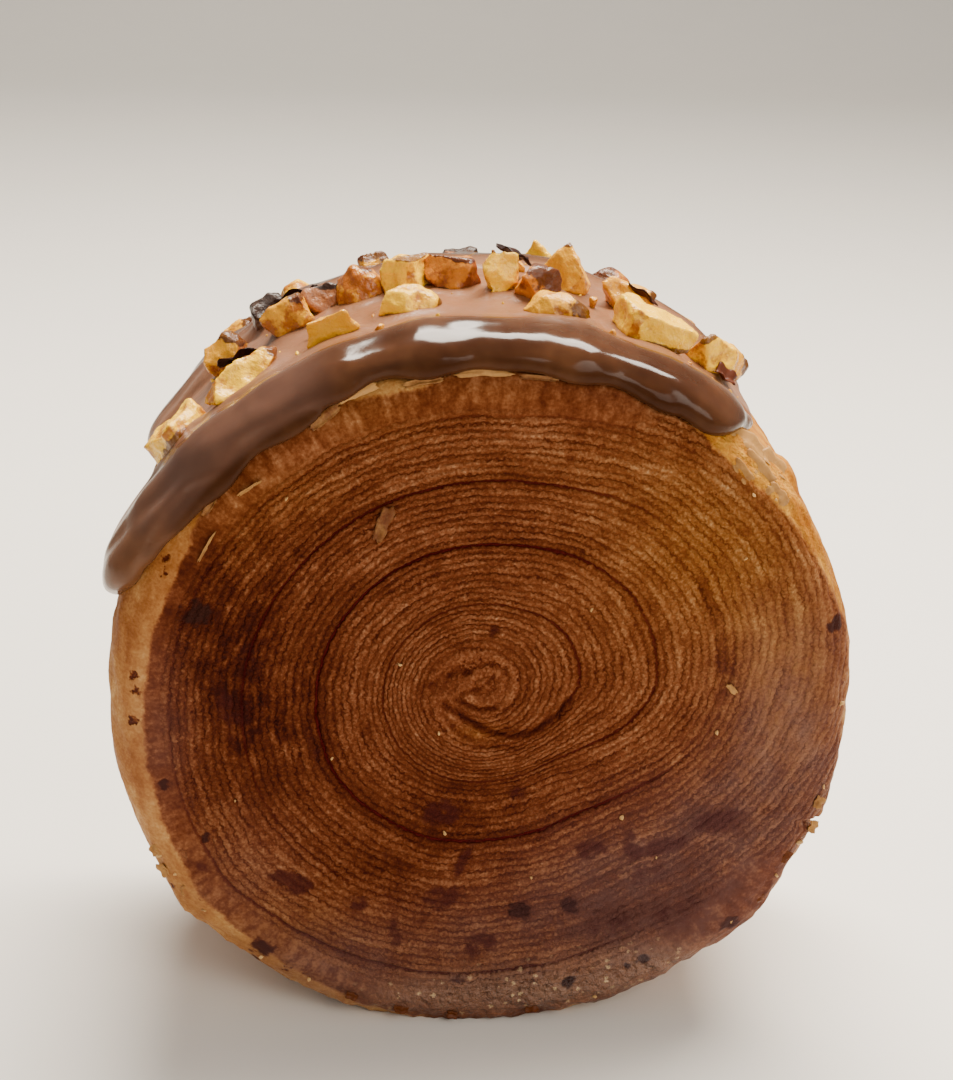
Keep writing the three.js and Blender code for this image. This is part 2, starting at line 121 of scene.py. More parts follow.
@dataclass(frozen=True)
class RollSize:
    """The bare roll's driving sizes, and places on its rim.

    The outline waves are counts round the rim with their phases and shares of the height, and the
    swells are broader lumps as degrees from the right, spread and height.
    """

    radius: float = 50.0
    thickness: float = 46.0
    shoulder: float = 6.0
    rest_depth: float = 2.4
    outline_wave: float = 0.15
    outline_waves: tuple[Triple, ...] = ((2, 0.4, 1), (3, -1.1, 0.8), (7, 0.7, 0.6), (13, 0, 0.4))
    skin_wave: float = 0.25
    crag: float = 0.175
    swells: tuple[Triple, ...] = (
        (-40, 9, 1.0), (216, 6, 0.9), (2, 14, -0.5), (176, 10, -0.5), (197, 6, -0.4))

    @property
    def half_rim(self) -> float:
        """Half the width of the rim's flat part."""
        return self.thickness / 2 - self.shoulder

    @property
    def face_radius(self) -> float:
        """Radius of the flat part of a face."""
        return self.radius - self.shoulder

    @property
    def axis_height(self) -> float:
        """Height of the disc's middle over the floor."""
        return self.radius - self.rest_depth

    def on_rim(self, around: Number, across: Number) -> tuple[np.ndarray, np.ndarray, np.ndarray]:
        """Finds places on the rim, its shoulders and the faces below them.

        Args:
            around: Degrees from the top towards the right.
            across: Millimetres over the rim, negative towards the front.

        Returns:
            The points, the directions out of the surface and the directions along the rim.
        """
        turn = np.radians(np.asarray(around, float))
        over = np.broadcast_to(np.asarray(across, float), turn.shape)
        side = np.where(over < 0, -1.0, 1.0)
        bend = np.clip((np.abs(over) - self.half_rim) / self.shoulder, 0, math.pi / 2)
        down = np.maximum(np.abs(over) - self.half_rim - self.shoulder * math.pi / 2, 0)
        radius = self.face_radius + self.shoulder * np.cos(bend) - down
        depth = side * (np.minimum(np.abs(over), self.half_rim) + self.shoulder * np.sin(bend))
        point = np.stack([radius * np.sin(turn), depth, radius * np.cos(turn)], axis=-1)
        level = np.cos(bend)
        out = np.stack([level * np.sin(turn), side * np.sin(bend), level * np.cos(turn)], axis=-1)
        along = np.stack([np.cos(turn), np.zeros_like(turn), -np.sin(turn)], axis=-1)
        return point, out, along

    def unrolled(self, points: np.ndarray) -> tuple[np.ndarray, np.ndarray]:
        """Finds where places near the surface lie on the rim, its shoulders and the faces.

        Args:
            points: Places in the roll's own axes, one a row.

        Returns:
            Degrees from the top towards the right, and millimetres over the rim.
        """
        x, y, z = points.T
        radius = np.hypot(x, z)
        over, out = np.abs(y) - self.half_rim, radius - self.face_radius
        bend = np.arctan2(np.maximum(over, 0), np.maximum(out, 1e-6))
        across = np.where(over < 0, np.abs(y), self.half_rim + self.shoulder * bend)
        across = np.where(out < 0, self.half_rim + self.shoulder * math.pi / 2 - out, across)
        return np.degrees(np.arctan2(x, z)), np.sign(y) * across

    def baked(self, points: np.ndarray) -> np.ndarray:
        """Moves points of the plain drum to the uneven outline that baking leaves.

        Args:
            points: Places on the plain drum, one a row.

        Returns:
            The places on the uneven drum.
        """
        x, y, z = points.T
        radius = np.maximum(np.hypot(x, z), 1e-6)
        angle = np.arctan2(z, x)
        outline = self.outline_wave * sum(
            share * np.sin(count * angle + phase) for count, phase, share in self.outline_waves)
        for middle, spread, height in self.swells:
            outline = outline + height * hump(np.degrees(angle), middle, spread)
        skin = self.skin_wave * np.sin(5 * angle + 0.21 * y) * np.cos(9 * angle - 0.13 * y)
        crag = self.crag * np.sin(31 * angle + 1.7 * y) * np.sin(17 * angle)
        edge = smooth(0.5, 1.0, radius / self.radius)
        rim = smooth(0.9, 0.98, radius / self.radius)
        grow = 1 + (outline * edge + (skin + crag) * rim) / radius
        return np.stack([x * grow, y, z * grow], axis=-1)


@dataclass(frozen=True)
class SpiralRule:
    """How the rolled sheet runs on a face: distances from its centre as shares of the way out.

    It steps out by one sheet between two turns, but for its inner end, where it hooks round. The
    core and the stepping say between which shares that passes over. The bulges are degrees from
    the right, spread and height.
    """

    centre_x: float = -0.5
    centre_z: float = 5.0
    edge: float = 49.5
    first_share: float = 0.245
    wrap_share: float = 0.195
    step_from: float = 300 / 360
    step_to: float = 365 / 360
    stepping: tuple[float, float] = (0.12, 0.32)
    hook_share: float = 0.42
    core: tuple[float, float] = (0.05, 0.19)
    bulges: tuple[Triple, ...] = ((32, 35, 0.11), (205, 30, 0.02), (285, 30, -0.03))

    def polar(self, x: np.ndarray, z: np.ndarray) -> tuple[np.ndarray, np.ndarray]:
        """Turns places on a face into shares of the way out and turns from the right.

        Args:
            x: Places to the right of the disc's middle.
            z: Places above it.

        Returns:
            The shares, and the turns counted from the gap.
        """
        dx, dz = x - self.centre_x, z - self.centre_z
        angle = np.arctan2(dz, dx)
        lean = self.centre_x * np.cos(angle) + self.centre_z * np.sin(angle)
        beyond = self.centre_x ** 2 + self.centre_z ** 2 - self.edge ** 2
        reach = np.sqrt(lean ** 2 - beyond) - lean
        share = np.hypot(dx, dz) / reach
        return share, self.counted(share, angle / (2 * math.pi))

    def counted(self, share: np.ndarray, turn: np.ndarray) -> np.ndarray:
        """Counts turns from the gap at the sheet's inner end, so that they break only there."""
        gap = np.minimum(share - self.first_share, 0) / self.hook_share
        return np.mod(turn - gap, 1.0) + gap

    def pressed(self, turn: Number) -> Number:
        """How far the sheets bulge to the upper right and are pressed together at the bottom."""
        angle = 360 * np.mod(turn, 1.0)
        lumps = (high * hump(angle, middle, spread) for middle, spread, high in self.bulges)
        return sum(lumps, 1.0)

    def sheet(self, share: np.ndarray, turn: np.ndarray) -> np.ndarray:
        """Counts the sheets from the seam's start out to a place.

        Args:
            share: Shares of the way out.
            turn: Turns from the right, which may pass 1.

        Returns:
            The sheets, whole numbers on the seam.
        """
        wraps = np.floor(turn - self.step_to + 1)
        step = smooth(self.step_from, self.step_to, turn - wraps)
        stepped = np.where(turn < 0, turn, wraps + step)
        inside = blend(turn, stepped, smooth(*self.stepping, share))
        middle = 0.5 + np.minimum(share - self.first_share, 0) / self.hook_share
        inside = blend(middle, inside, smooth(*self.core, share))
        return (share / self.pressed(turn) - self.first_share) / self.wrap_share - inside


ROLL = RollSize()
SPIRAL = SpiralRule()


def to_frame(points: np.ndarray) -> np.ndarray:
    """Takes places in the roll's own axes to metres in the shared frame."""
    return (np.asarray(points, float) + [0, 0, ROLL.axis_height]) * MM


def linked(name: str, data: bpy.types.ID) -> Thing:
    """Puts a mesh, a camera or a light in the scene."""
    made = bpy.data.objects.new(name, data)
    bpy.context.scene.collection.objects.link(made)
    return made


def new_mesh(name: str, points: np.ndarray, faces: list) -> Thing:
    """Makes a mesh object, its place in its mesh.

    Args:
        name: The piece's name.
        points: Corners in the roll's own axes.
        faces: Corner numbers of each face, facing outwards.

    Returns:
        The object, linked to the scene.
    """
    mesh = bpy.data.meshes.new(name)
    mesh.from_pydata(to_frame(points).tolist(), [], faces)
    mesh.update()
    return linked(name, mesh)


def store(mesh: Mesh, name: str, values: Number) -> None:
    """Keeps one number for each corner of a mesh under a name, or the same one for all."""
    layer = mesh.attributes.new(name, "FLOAT", "POINT")
    layer.data.foreach_set("value", np.full(len(mesh.vertices), values, np.float32))


def corners(mesh: Mesh) -> np.ndarray:
    """A mesh's corners in metres, one a row."""
    places = np.zeros(3 * len(mesh.vertices))
    mesh.vertices.foreach_get("co", places)
    return places.reshape(-1, 3)


def own_axes(mesh: Mesh) -> np.ndarray:
    """A mesh's corners as millimetres in the roll's own axes."""
    return corners(mesh) / MM - [0, 0, ROLL.axis_height]


def settled(piece: Thing) -> Thing:
    """Turns a piece with modifiers into its plain mesh."""
    graph = bpy.context.evaluated_depsgraph_get()
    graph.update()
    mesh = bpy.data.meshes.new_from_object(piece.evaluated_get(graph), depsgraph=graph)
    mesh.name = piece.name
    piece.modifiers.clear()
    piece.data = mesh
    return piece


def evened(piece: Thing, grid: float, passes: int) -> Mesh:
    """Remakes a piece's skin on an even grid and softens it.

    Args:
        piece: The object, which may be several forms in one another.
        grid: Pitch of the grid in millimetres.
        passes: How often it is softened.

    Returns:
        The piece's new mesh.
    """
    remesh = piece.modifiers.new("even_grid", "REMESH")
    remesh.mode = "VOXEL"
    remesh.voxel_size = grid * MM
    soften = piece.modifiers.new("soften", "SMOOTH")
    soften.factor = 0.5
    soften.iterations = passes
    return settled(piece).data


def finished(piece: Thing, node: str | tuple[str, ...] = ()) -> Thing:
    """Turns a piece with modifiers into its plain final mesh and gives it its place in the frame.

    No corner stays below the floor.

    Args:
        piece: The object to finish.
        node: CAD node or nodes that it stands for.

    Returns:
        The same object.
    """
    mesh = settled(piece).data
    places = corners(mesh)
    places[:, 2] = np.maximum(places[:, 2], 0.0)
    mesh.vertices.foreach_set("co", places.ravel())
    mesh.shade_smooth()
    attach(piece, BODY)
    nodes = (node,) if isinstance(node, str) else node
    if nodes:
        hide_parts(*nodes)
    triangles = sum(len(p.vertices) - 2 for p in mesh.polygons)
    LOG.info("%s: %d triangles", piece.name, triangles)
    return piece


# Node trees


class Graph:
    """Adds nodes to one tree, for a material or for geometry."""

    def __init__(self, tree: Tree) -> None:
        """Starts on a tree."""
        self.tree = tree

    def node(self, kind: str, values: dict | None = None, **settings: object) -> Node:
        """Adds a node.

        Args:
            kind: The node's type.
            values: A socket or a plain value for each named or numbered input.
            **settings: Properties of the node.

        Returns:
            The node.
        """
        node = self.tree.nodes.new(kind)
        for name, value in settings.items():
            setattr(node, name, value)
        for key, value in (values or {}).items():
            self.feed(node.inputs[key], value)
        return node

    def out(self, kind: str, values: dict | None = None, **settings: object) -> Socket:
        """Adds a node in the same way and takes its first output."""
        return self.node(kind, values, **settings).outputs[0]

    def feed(self, socket: Socket, value: Value) -> None:
        """Links a socket to an input, or sets the input to a plain value."""
        if isinstance(value, Socket):
            self.tree.links.new(value, socket)
        else:
            socket.default_value = value

    def math(self, operation: str, *values: Value) -> Socket:
        """One sum on numbers, such as ADD or MULTIPLY."""
        return self.out("ShaderNodeMath", dict(enumerate(values)), operation=operation)

    def minus(self, value: Value, taken: Value) -> Socket:
        """The difference of two numbers."""
        return self.math("SUBTRACT", value, taken)

    def vector(self, operation: str, *values: Value) -> Socket:
        """One sum on vectors, such as ADD or SUBTRACT."""
        return self.out("ShaderNodeVectorMath", dict(enumerate(values)), operation=operation)

    def scaled(self, vector: Value, scale: Value) -> Socket:
        """A vector made longer or shorter."""
        node = self.node("ShaderNodeVectorMath", {0: vector}, operation="SCALE")
        self.feed(node.inputs["Scale"], scale)
        return node.outputs[0]

    def noise(self, point: Value, size: float, detail: float = 2.0, rough: float = 0.5) -> Socket:
        """Soft noise whose lumps are about `size` metres across, from 0 to 1."""
        values = {"Vector": point, "Scale": 1 / size, "Detail": detail, "Roughness": rough}
        return self.out("ShaderNodeTexNoise", values)

    def wander(self, point: Value, size: float) -> Socket:
        """Soft noise as a vector about zero."""
        values = {"Vector": point, "Scale": 1 / size, "Detail": 2.0}
        noise = self.node("ShaderNodeTexNoise", values).outputs["Color"]
        return self.vector("SUBTRACT", noise, HALVES)

    def centred(self, point: Value, size: float, detail: float = 2.0) -> Socket:
        """The same noise about zero, from -0.5 to 0.5."""
        return self.minus(self.noise(point, size, detail), 0.5)

    def ramp(self, value: Value, low: float, high: float,
             start: float = 0.0, end: float = 1.0) -> Socket:
        """A smooth step from start, where the value is low, to end, where it is high."""
        values = {"Value": value, "From Min": low, "From Max": high, "To Min": start, "To Max": end}
        return self.out("ShaderNodeMapRange", values, interpolation_type="SMOOTHSTEP")

    def mixed(self, share: Value, a: Value, b: Value, kind: str = "MIX") -> Socket:
        """Two colours mixed."""
        node = self.node("ShaderNodeMix", {0: share, 6: a, 7: b}, data_type="RGBA", blend_type=kind)
        return node.outputs[2]

    def linear(self, value: Value, scale: Value, start: Value) -> Socket:
        """A number times a scale, from a start."""
        return self.math("MULTIPLY_ADD", value, scale, start)

    def total(self, *values: Value) -> Socket:
        """The sum of several numbers."""
        result = values[0]
        for value in values[1:]:
            result = self.math("ADD", result, value)
        return result

    def times(self, *values: Value) -> Socket:
        """The product of several numbers."""
        result = values[0]
        for value in values[1:]:
            result = self.math("MULTIPLY", result, value)
        return result


def group(name: str, inputs: tuple[str, ...],
          outputs: tuple[str, ...]) -> tuple[Tree, Graph, dict, dict]:
    """Starts a shader node group, all its sockets numbers but for the one called Point.

    Args:
        name: The group's name.
        inputs: Names of the inputs.
        outputs: Names of the outputs.

    Returns:
        The tree, its graph, the inputs' sockets inside it and the outputs' sockets inside it.
    """
    tree = bpy.data.node_groups.new(name, "ShaderNodeTree")
    for way, labels in (("INPUT", inputs), ("OUTPUT", outputs)):
        for label in labels:
            kind = "NodeSocketVector" if label == "Point" else "NodeSocketFloat"
            tree.interface.new_socket(label, in_out=way, socket_type=kind)
    graph = Graph(tree)
    start = graph.node("NodeGroupInput")
    end = graph.node("NodeGroupOutput")
    return tree, graph, dict(start.outputs.items()), dict(end.inputs.items())


def lamination(g: Graph, sheet: Value, point: Value, layers: Value,
               ragged: float = 0.0) -> dict[str, Socket]:
    """Draws the laminations of the rolled sheet, alike in relief and colour.

    Each lamination wanders a little, has its own tone, and its crest is broken into beads. Some
    grooves are deep and others close up.

    Args:
        g: The tree that they are worked out in.
        sheet: Sheets from the seam's start.
        point: The place in metres.
        layers: Laminations in one sheet.
        ragged: How far the edges are torn, in laminations.

    Returns:
        Crest, Bead, Tone and Groove, and Seam as the distance from the seam in sheets.
    """
    drift = g.centred(point, 9 * MM, 1.0)
    shake = g.centred(point, 2.2 * MM)
    wander = g.total(g.times(drift, 1.3), g.times(shake, 0.75))
    if ragged:
        torn = g.centred(point, 0.55 * MM)
        wander = g.linear(torn, ragged, wander)
    count = g.linear(sheet, layers, wander)
    own = g.math("FLOOR", count)
    between = g.math("FLOOR", g.total(count, 0.5))
    valley = g.math("ABSOLUTE", g.linear(g.math("FRACT", count), 2.0, -1.0))
    crest = g.minus(1.0, g.math("POWER", valley, 1.7))
    strands = g.ramp(layer_noise(g, point, own, layers, 0.42), 0.38, 0.64)
    lumps = g.ramp(layer_noise(g, point, own, layers, 1.3), 0.34, 0.66)
    bead = g.linear(strands, 0.6, g.times(lumps, 0.4))
    tone = g.ramp(layer_noise(g, point, own, layers, 11.0), 0.3, 0.7)
    depth = g.ramp(layer_noise(g, point, between, layers, 5.0), 0.38, 0.62, 0.2, 1.0)
    broken = g.ramp(layer_noise(g, point, between, layers, 0.9), 0.32, 0.6, 0.35, 1.0)
    groove = g.times(g.ramp(valley, 0.5, 1.0), depth, broken)
    near = g.linear(wander, 0.04, sheet)
    seam = g.math("ABSOLUTE", g.minus(g.math("FRACT", g.total(near, 0.5)), 0.5))
    return {"Crest": crest, "Bead": bead, "Tone": tone, "Groove": groove, "Seam": seam}


def layer_noise(g: Graph, point: Value, number: Value, layers: Value, size: float) -> Socket:
    """Noise that differs from one lamination to the next.

    Args:
        g: The tree.
        point: The place in metres.
        number: The lamination's number.
        layers: Laminations in one sheet, after which the numbers start again.
        size: Length of the noise's lumps in millimetres.

    Returns:
        The noise, from 0 to 1.
    """
    own = g.times(g.math("FLOORED_MODULO", number, layers), 37.3 * MM)
    shift = g.out("ShaderNodeCombineXYZ", {1: own})
    return g.noise(g.vector("ADD", point, shift), size * MM)


def layers_group() -> Tree:
    """The shader group that draws the laminations and the seam."""
    made = ("Crest", "Bead", "Tone", "Groove", "Seam")
    tree, graph, given, result = group("pastry_layers", ("Sheet", "Point", "Layers"), made)
    drawn = lamination(graph, given["Sheet"], given["Point"], given["Layers"], ragged=1.1)
    for name, value in drawn.items():
        graph.feed(result[name], value)
    return tree


def mottle_group() -> Tree:
    """The shader group for uneven baking: broad soft patches with finer ones in them."""
    tree, graph, given, result = group("mottle", ("Point", "Scale", "Contrast"), ("Mask",))
    point = graph.scaled(given["Point"], given["Scale"])
    broad, fine = graph.noise(point, 1.0, 3.0), graph.noise(point, 1 / 4.3)
    both = graph.total(graph.times(broad, 0.7), graph.times(fine, 0.3), -0.5)
    spread = graph.linear(both, given["Contrast"], 0.5)
    clamped = graph.out("ShaderNodeClamp", {"Value": spread})
    graph.feed(result["Mask"], clamped)
    return tree


def speckle_group() -> Tree:
    """The shader group for scattered specks of about one size."""
    tree, graph, given, result = group("speckle", ("Point", "Scale", "Share"), ("Mask",))
    point = graph.scaled(given["Point"], given["Scale"])
    cells = graph.node("ShaderNodeTexVoronoi", {"Vector": point, "Scale": 1.0, "Randomness": 1.0})
    tone = graph.out("ShaderNodeSeparateColor", {0: cells.outputs["Color"]})
    chosen = graph.math("LESS_THAN", tone, given["Share"])
    disc = graph.ramp(cells.outputs["Distance"], 0.42, 0.18)
    graph.feed(result["Mask"], graph.times(chosen, disc))
    return tree


@dataclass
class SharedGroups:
    """The shader groups that several finishes use, each built once."""

    layers: Tree = field(default_factory=layers_group)
    mottle: Tree = field(default_factory=mottle_group)
    speckle: Tree = field(default_factory=speckle_group)


class Surface(Graph):
    """One material's tree, with its shader and the nodes that most finishes start from."""

    def __init__(self, name: str, shared: SharedGroups) -> None:
        """Makes the material.

        Args:
            name: The material's name.
            shared: The shader groups that it may use.
        """
        self.material = bpy.data.materials.new(name)
        self.material.use_nodes = True
        super().__init__(self.material.node_tree)
        self.shared = shared
        self.shader = self.tree.nodes["Principled BSDF"]
        self.point = self.node("ShaderNodeTexCoord").outputs["Object"]

    def attribute(self, name: str) -> Socket:
        """A number kept on the mesh."""
        return self.node("ShaderNodeAttribute", attribute_name=name).outputs["Fac"]

    def placed(self, tree: Tree, values: dict) -> Node:
        """Places a shared group with its own values."""
        node = self.node("ShaderNodeGroup", node_tree=tree)
        for key, value in values.items():
            self.feed(node.inputs[key], value)
        return node

    def mottle(self, size: float, contrast: float, point: Value | None = None) -> Socket:
        """Soft patches about `size` metres across."""
        values = {"Point": point or self.point, "Scale": 1 / size, "Contrast": contrast}
        return self.placed(self.shared.mottle, values).outputs["Mask"]

    def uneven(self, size: float, contrast: float) -> Socket:
        """The same patches about zero, from -0.5 to 0.5."""
        return self.minus(self.mottle(size, contrast), 0.5)

    def speckle(self, size: float, share: float) -> Socket:
        """Ragged specks in cells `size` metres across, in this share of the cells."""
        offset = self.scaled(self.wander(self.point, size / 3), 0.9 * size)
        point = self.vector("ADD", self.point, offset)
        values = {"Point": point, "Scale": 1 / size, "Share": share}
        return self.placed(self.shared.speckle, values).outputs["Mask"]

    def coloured(self, colour: Value, roughness: Value) -> None:
        """Gives the shader its colour and roughness."""
        self.feed(self.shader.inputs["Base Color"], colour)
        self.feed(self.shader.inputs["Roughness"], roughness)

    def lit_through(self, weight: float, depth: float, spread: Triple = (1.0, 0.6, 0.25)) -> None:
        """Lets a little light through the surface.

        Args:
            weight: Share of the light.
            depth: How far it goes, in metres.
            spread: How far red, green and blue go for that depth.
        """
        for name, value in (("Weight", weight), ("Scale", depth), ("Radius", spread)):
            self.shader.inputs["Subsurface " + name].default_value = value

    def raised(self, height: Value) -> None:
        """Adds fine relief, given in millimetres."""
        bump = self.node("ShaderNodeBump", {"Height": height, "Distance": MM, "Strength": 1.0})
        self.feed(self.shader.inputs["Normal"], bump.outputs[0])


@dataclass(frozen=True)
class CrustFinish:
    """Browned pastry, its colour one pigment laid on thinner or thicker by how far it is baked.

    A depth of 1 is the plain brown of the faces: pale skin has less of it, grooves and burnt
    spots have more.
    """

    pigment: str = "613118"
    gold_pigment: str = "61310d"
    char: str = "2f150e"
    violet_char: str = "392222"
    bruise: str = "3a120d"
    violet_bruise: str = "402020"
    seam_red: str = "4a0a08"
    veil: str = "543935"
    thin_veil: str = "7a5748"
    soaked: str = "8a6650"
    painted_glint: str = "d9ba8c"
    skin_tint: str = "fff3ba"
    honey: str = "ffdf70"
    layers: float = 9.0
    golden: float = -0.24
    plain: float = 1.03
    dark: float = 0.40
    pale: float = 0.50
    burnt: float = 1.6
    groove: float = 0.38
    bead: float = -0.36
    tone: float = 0.10
    seam: float = 0.42
    band: float = 0.18
    folds: float = 0.6
    seam_share: float = 0.85
    veil_share: float = 0.9
    bruise_share: float = 0.65
    painted_glint_share: float = 0.75
    char_share: float = 0.75

    def material(self, shared: SharedGroups) -> Material:
        """Builds the material.

        Args:
            shared: The shader groups.

        Returns:
            The material for the roll.
        """
        s = Surface("browned_crust", shared)
        spiral = s.node("ShaderNodeSeparateXYZ", {0: s.out("ShaderNodeUVMap", uv_map="spiral")})
        turn, sheet = spiral.outputs[0], spiral.outputs[1]
        sockets = {"Sheet": sheet, "Point": s.point, "Layers": self.layers}
        layers = s.placed(shared.layers, sockets).outputs
        gold, violet, grease = s.attribute("gold"), s.attribute("violet"), s.attribute("grease")
        bare, seam = s.attribute("bare"), s.attribute("seam")

        # how far each place is baked: the laminations, the band outside them and the seam
        beads = s.times(layers["Crest"], layers["Bead"])
        tone = s.linear(layers["Tone"], 2 * self.tone, 0.05 - self.tone)
        softer = s.total(s.times(gold, -0.4), s.times(violet, -0.35), 1.0)
        drawn = s.total(s.times(layers["Groove"], self.groove), s.times(beads, self.bead))
        lines = s.total(s.times(drawn, softer), tone)
        fine = s.times(s.centred(s.point, 0.4 * MM), 0.5)
        streaks = self.streaks(s, turn, sheet)
        near = s.times(s.ramp(layers["Seam"], 0.030, 0.005), seam)
        beside = s.times(s.ramp(layers["Seam"], 0.2, 0.03), seam)
        blotched = s.linear(s.mottle(2.4 * MM, 4.5), 1.3, 0.35)
        face = s.total(
            self.plain, s.times(gold, self.golden),
            s.times(s.attribute("dark"), blotched, self.dark),
            s.times(s.uneven(8 * MM, 2.0), 0.26), s.times(s.uneven(2.6 * MM, 2.0), 0.2), fine,
            s.times(lines, bare), s.times(streaks, s.minus(1.0, bare)),
            s.times(near, self.seam), s.times(beside, self.band),
            s.times(s.attribute("fold"), self.folds))

        # the pale skin of the rim, burnt spots and dark blotches
        skin = self.skin_share(s)
        pits = s.times(s.speckle(2.2 * MM, 0.13), s.attribute("pits"))
        rim = s.total(self.rim_depth(s), s.times(pits, 0.9))
        depth = s.total(face, s.times(skin, s.minus(rim, face)))
        spot = s.total(s.attribute("burn"), s.times(s.centred(s.point, 1.3 * MM, 4.0), 1.6))
        burnt = s.ramp(spot, 0.1, 0.6)
        torn = s.linear(s.noise(s.point, 1.7 * MM, 5.0), 3.0, -0.5)
        bruised = s.ramp(s.times(s.attribute("bruise"), torn), 0.25, 0.95)
        depth = s.total(depth, s.times(burnt, self.burnt - 1.0), s.times(bruised, 0.25))

        # the colour at that depth
        pigment = s.mixed(gold, tint(self.pigment), tint(self.gold_pigment))
        browned = s.out("ShaderNodeGamma", {0: pigment, 1: s.math("MAXIMUM", depth, 0.12)})
        gilded = s.mixed(s.attribute("honey"), tint(self.skin_tint), tint(self.honey))
        browned = s.mixed(skin, browned, s.mixed(1.0, browned, gilded, "MULTIPLY"))
        browned = s.mixed(s.times(near, self.seam_share), browned, tint(self.seam_red))

        # the violet haze, the blotches, the grease with its painted glints, and the char over it
        patchy = s.linear(s.mottle(3.5 * MM, 3.0), 0.45, 0.55)
        hazy = s.times(violet, patchy, s.ramp(depth, 2.1, 1.3), self.veil_share)
        veil = s.mixed(s.ramp(depth, 0.7, 1.15), tint(self.thin_veil), tint(self.veil))
        blotch = s.mixed(violet, tint(self.bruise), tint(self.violet_bruise))
        colour = s.mixed(s.times(bruised, self.bruise_share), s.mixed(hazy, browned, veil), blotch)
        wet = s.linear(s.mottle(3 * MM, 2.5), 0.5, 0.35)
        colour = s.mixed(s.times(grease, wet, s.ramp(depth, 1.6, 1.1)), colour, tint(self.soaked))
        # painted glints: pale specks on the grease stand in for small highlights
        painted_glints = s.times(s.speckle(1.0 * MM, 0.2), grease, self.painted_glint_share)
        colour = s.mixed(painted_glints, colour, tint(self.painted_glint))
        char = s.mixed(violet, tint(self.char), tint(self.violet_char))
        s.coloured(s.mixed(s.times(burnt, self.char_share), colour, char), self.roughness(s))

        # fine relief
        fold = s.times(s.total(s.times(layers["Crest"], 0.07), s.times(beads, 0.16)), bare)
        grain = s.times(s.noise(s.point, 0.4 * MM, 3.0), 0.12)
        lumps = s.times(s.noise(s.point, 1.1 * MM, 4.0), grease, 2.2)
        sunk = s.total(s.times(pits, -0.25), s.times(near, -0.2), s.times(burnt, 0.12))
        s.raised(s.total(fold, grain, lumps, sunk))
        s.feed(s.shader.inputs["Specular IOR Level"], s.linear(grease, 0.45, 0.05))
        return s.material

    def streaks(self, s: Surface, turn: Value, sheet: Value) -> Socket:
        """Depth added on the smooth band outside the laminations: faint streaks towards the rim.

        Args:
            s: The material's tree.
            turn: Turns round the spiral.
            sheet: Sheets from the seam's start.

        Returns:
            The depth.
        """
        lines = s.out("ShaderNodeCombineXYZ", {0: s.times(turn, 230.0), 1: s.times(sheet, 2.0)})
        streak = s.centred(lines, 1.0, 3.0)
        return s.total(s.times(streak, 0.8), s.times(s.centred(s.point, 1.1 * MM, 3.0), 0.5))

    def rim_depth(self, s: Surface) -> Socket:
        """Depth of the pale skin on the rim and shoulders, with wrinkles along the rim.

        Args:
            s: The material's tree.

        Returns:
            The depth.
        """
        rim = s.node("ShaderNodeSeparateXYZ", {0: s.out("ShaderNodeUVMap", uv_map="rim")})
        lines = s.out("ShaderNodeCombineXYZ", {0: s.times(rim.outputs[0], 0.12), 1: rim.outputs[1]})
        streak = s.centred(lines, 1.6, 4.0)
        patch = s.uneven(9 * MM, 2.2)
        freckle = s.centred(s.point, 1.4 * MM, 3.0)
        grain = s.centred(s.point, 0.4 * MM)
        bronze = s.times(s.attribute("bronze"), 0.15)
        browner = s.total(bronze, s.times(s.attribute("honey"), -0.06), self.pale)
        return s.total(browner, s.times(streak, 0.45), s.times(patch, 0.30), s.times(freckle, 0.35),
                       s.times(grain, 0.3))

    def skin_share(self, s: Surface) -> Socket:
        """Share of the pale skin, which passes raggedly into the face.

        Args:
            s: The material's tree.

        Returns:
            The share, from 0 to 1.
        """
        ragged = s.times(s.centred(s.point, 2.6 * MM, 5.0), 1.3)
        grain = s.times(s.centred(s.point, 0.5 * MM), 0.5)
        return s.ramp(s.total(s.attribute("pale"), ragged, grain), 0.2, 0.8)

    def roughness(self, s: Surface) -> Socket:
        """Roughness of the crust, less where grease has soaked it."""
        rough = s.linear(s.noise(s.point, 0.8 * MM, 2.0), 0.3, 0.42)
        return s.minus(rough, s.times(s.attribute("grease"), 0.36))


@dataclass(frozen=True)
class ChocolateFinish:
    """Set milk chocolate with a clear gloss on the lips, duller among the nuts, with painted sheen.
    """

    dark: str = "331a0c"
    light: str = "7e5336"
    wash: str = "725347"
    wash_share: float = 0.36
    gloss: float = 0.08
    index: float = 1.22

    def material(self, shared: SharedGroups) -> Material:
        """Builds the material.

        Args:
            shared: The shader groups.

        Returns:
            The material for the chocolate.
        """
        s = Surface("milk_chocolate", shared)
        dull = s.attribute("dull")
        # dull parts are rougher, and are also painted paler: a painted sheen of the broad top light
        cloud = s.total(s.times(s.mottle(12 * MM, 1.8), 0.45), s.times(dull, 0.65))
        colour = s.mixed(s.ramp(cloud, 0.05, 1.0), tint(self.dark), tint(self.light))
        # painted sheen: the left lip is mixed towards a paler, greyer colour that stands in for
        # reflected surroundings
        colour = s.mixed(s.times(s.attribute("wash"), self.wash_share), colour, tint(self.wash))
        rough = s.total(s.times(s.noise(s.point, 4 * MM), 0.12), self.gloss, s.times(dull, 0.24))
        s.coloured(colour, rough)
        ripple = s.times(s.noise(s.point, 5 * MM, 1.0), 0.15)
        fine = s.times(s.noise(s.point, 0.9 * MM, 2.0), s.linear(dull, 0.08, 0.008))
        s.raised(s.total(ripple, fine))
        s.shader.inputs["IOR"].default_value = self.index
        s.feed(s.shader.inputs["Specular IOR Level"], s.linear(s.attribute("under"), -0.8, 1.0))
        s.lit_through(0.06, 0.6 * MM, (1.0, 0.2, 0.1))
        return s.material


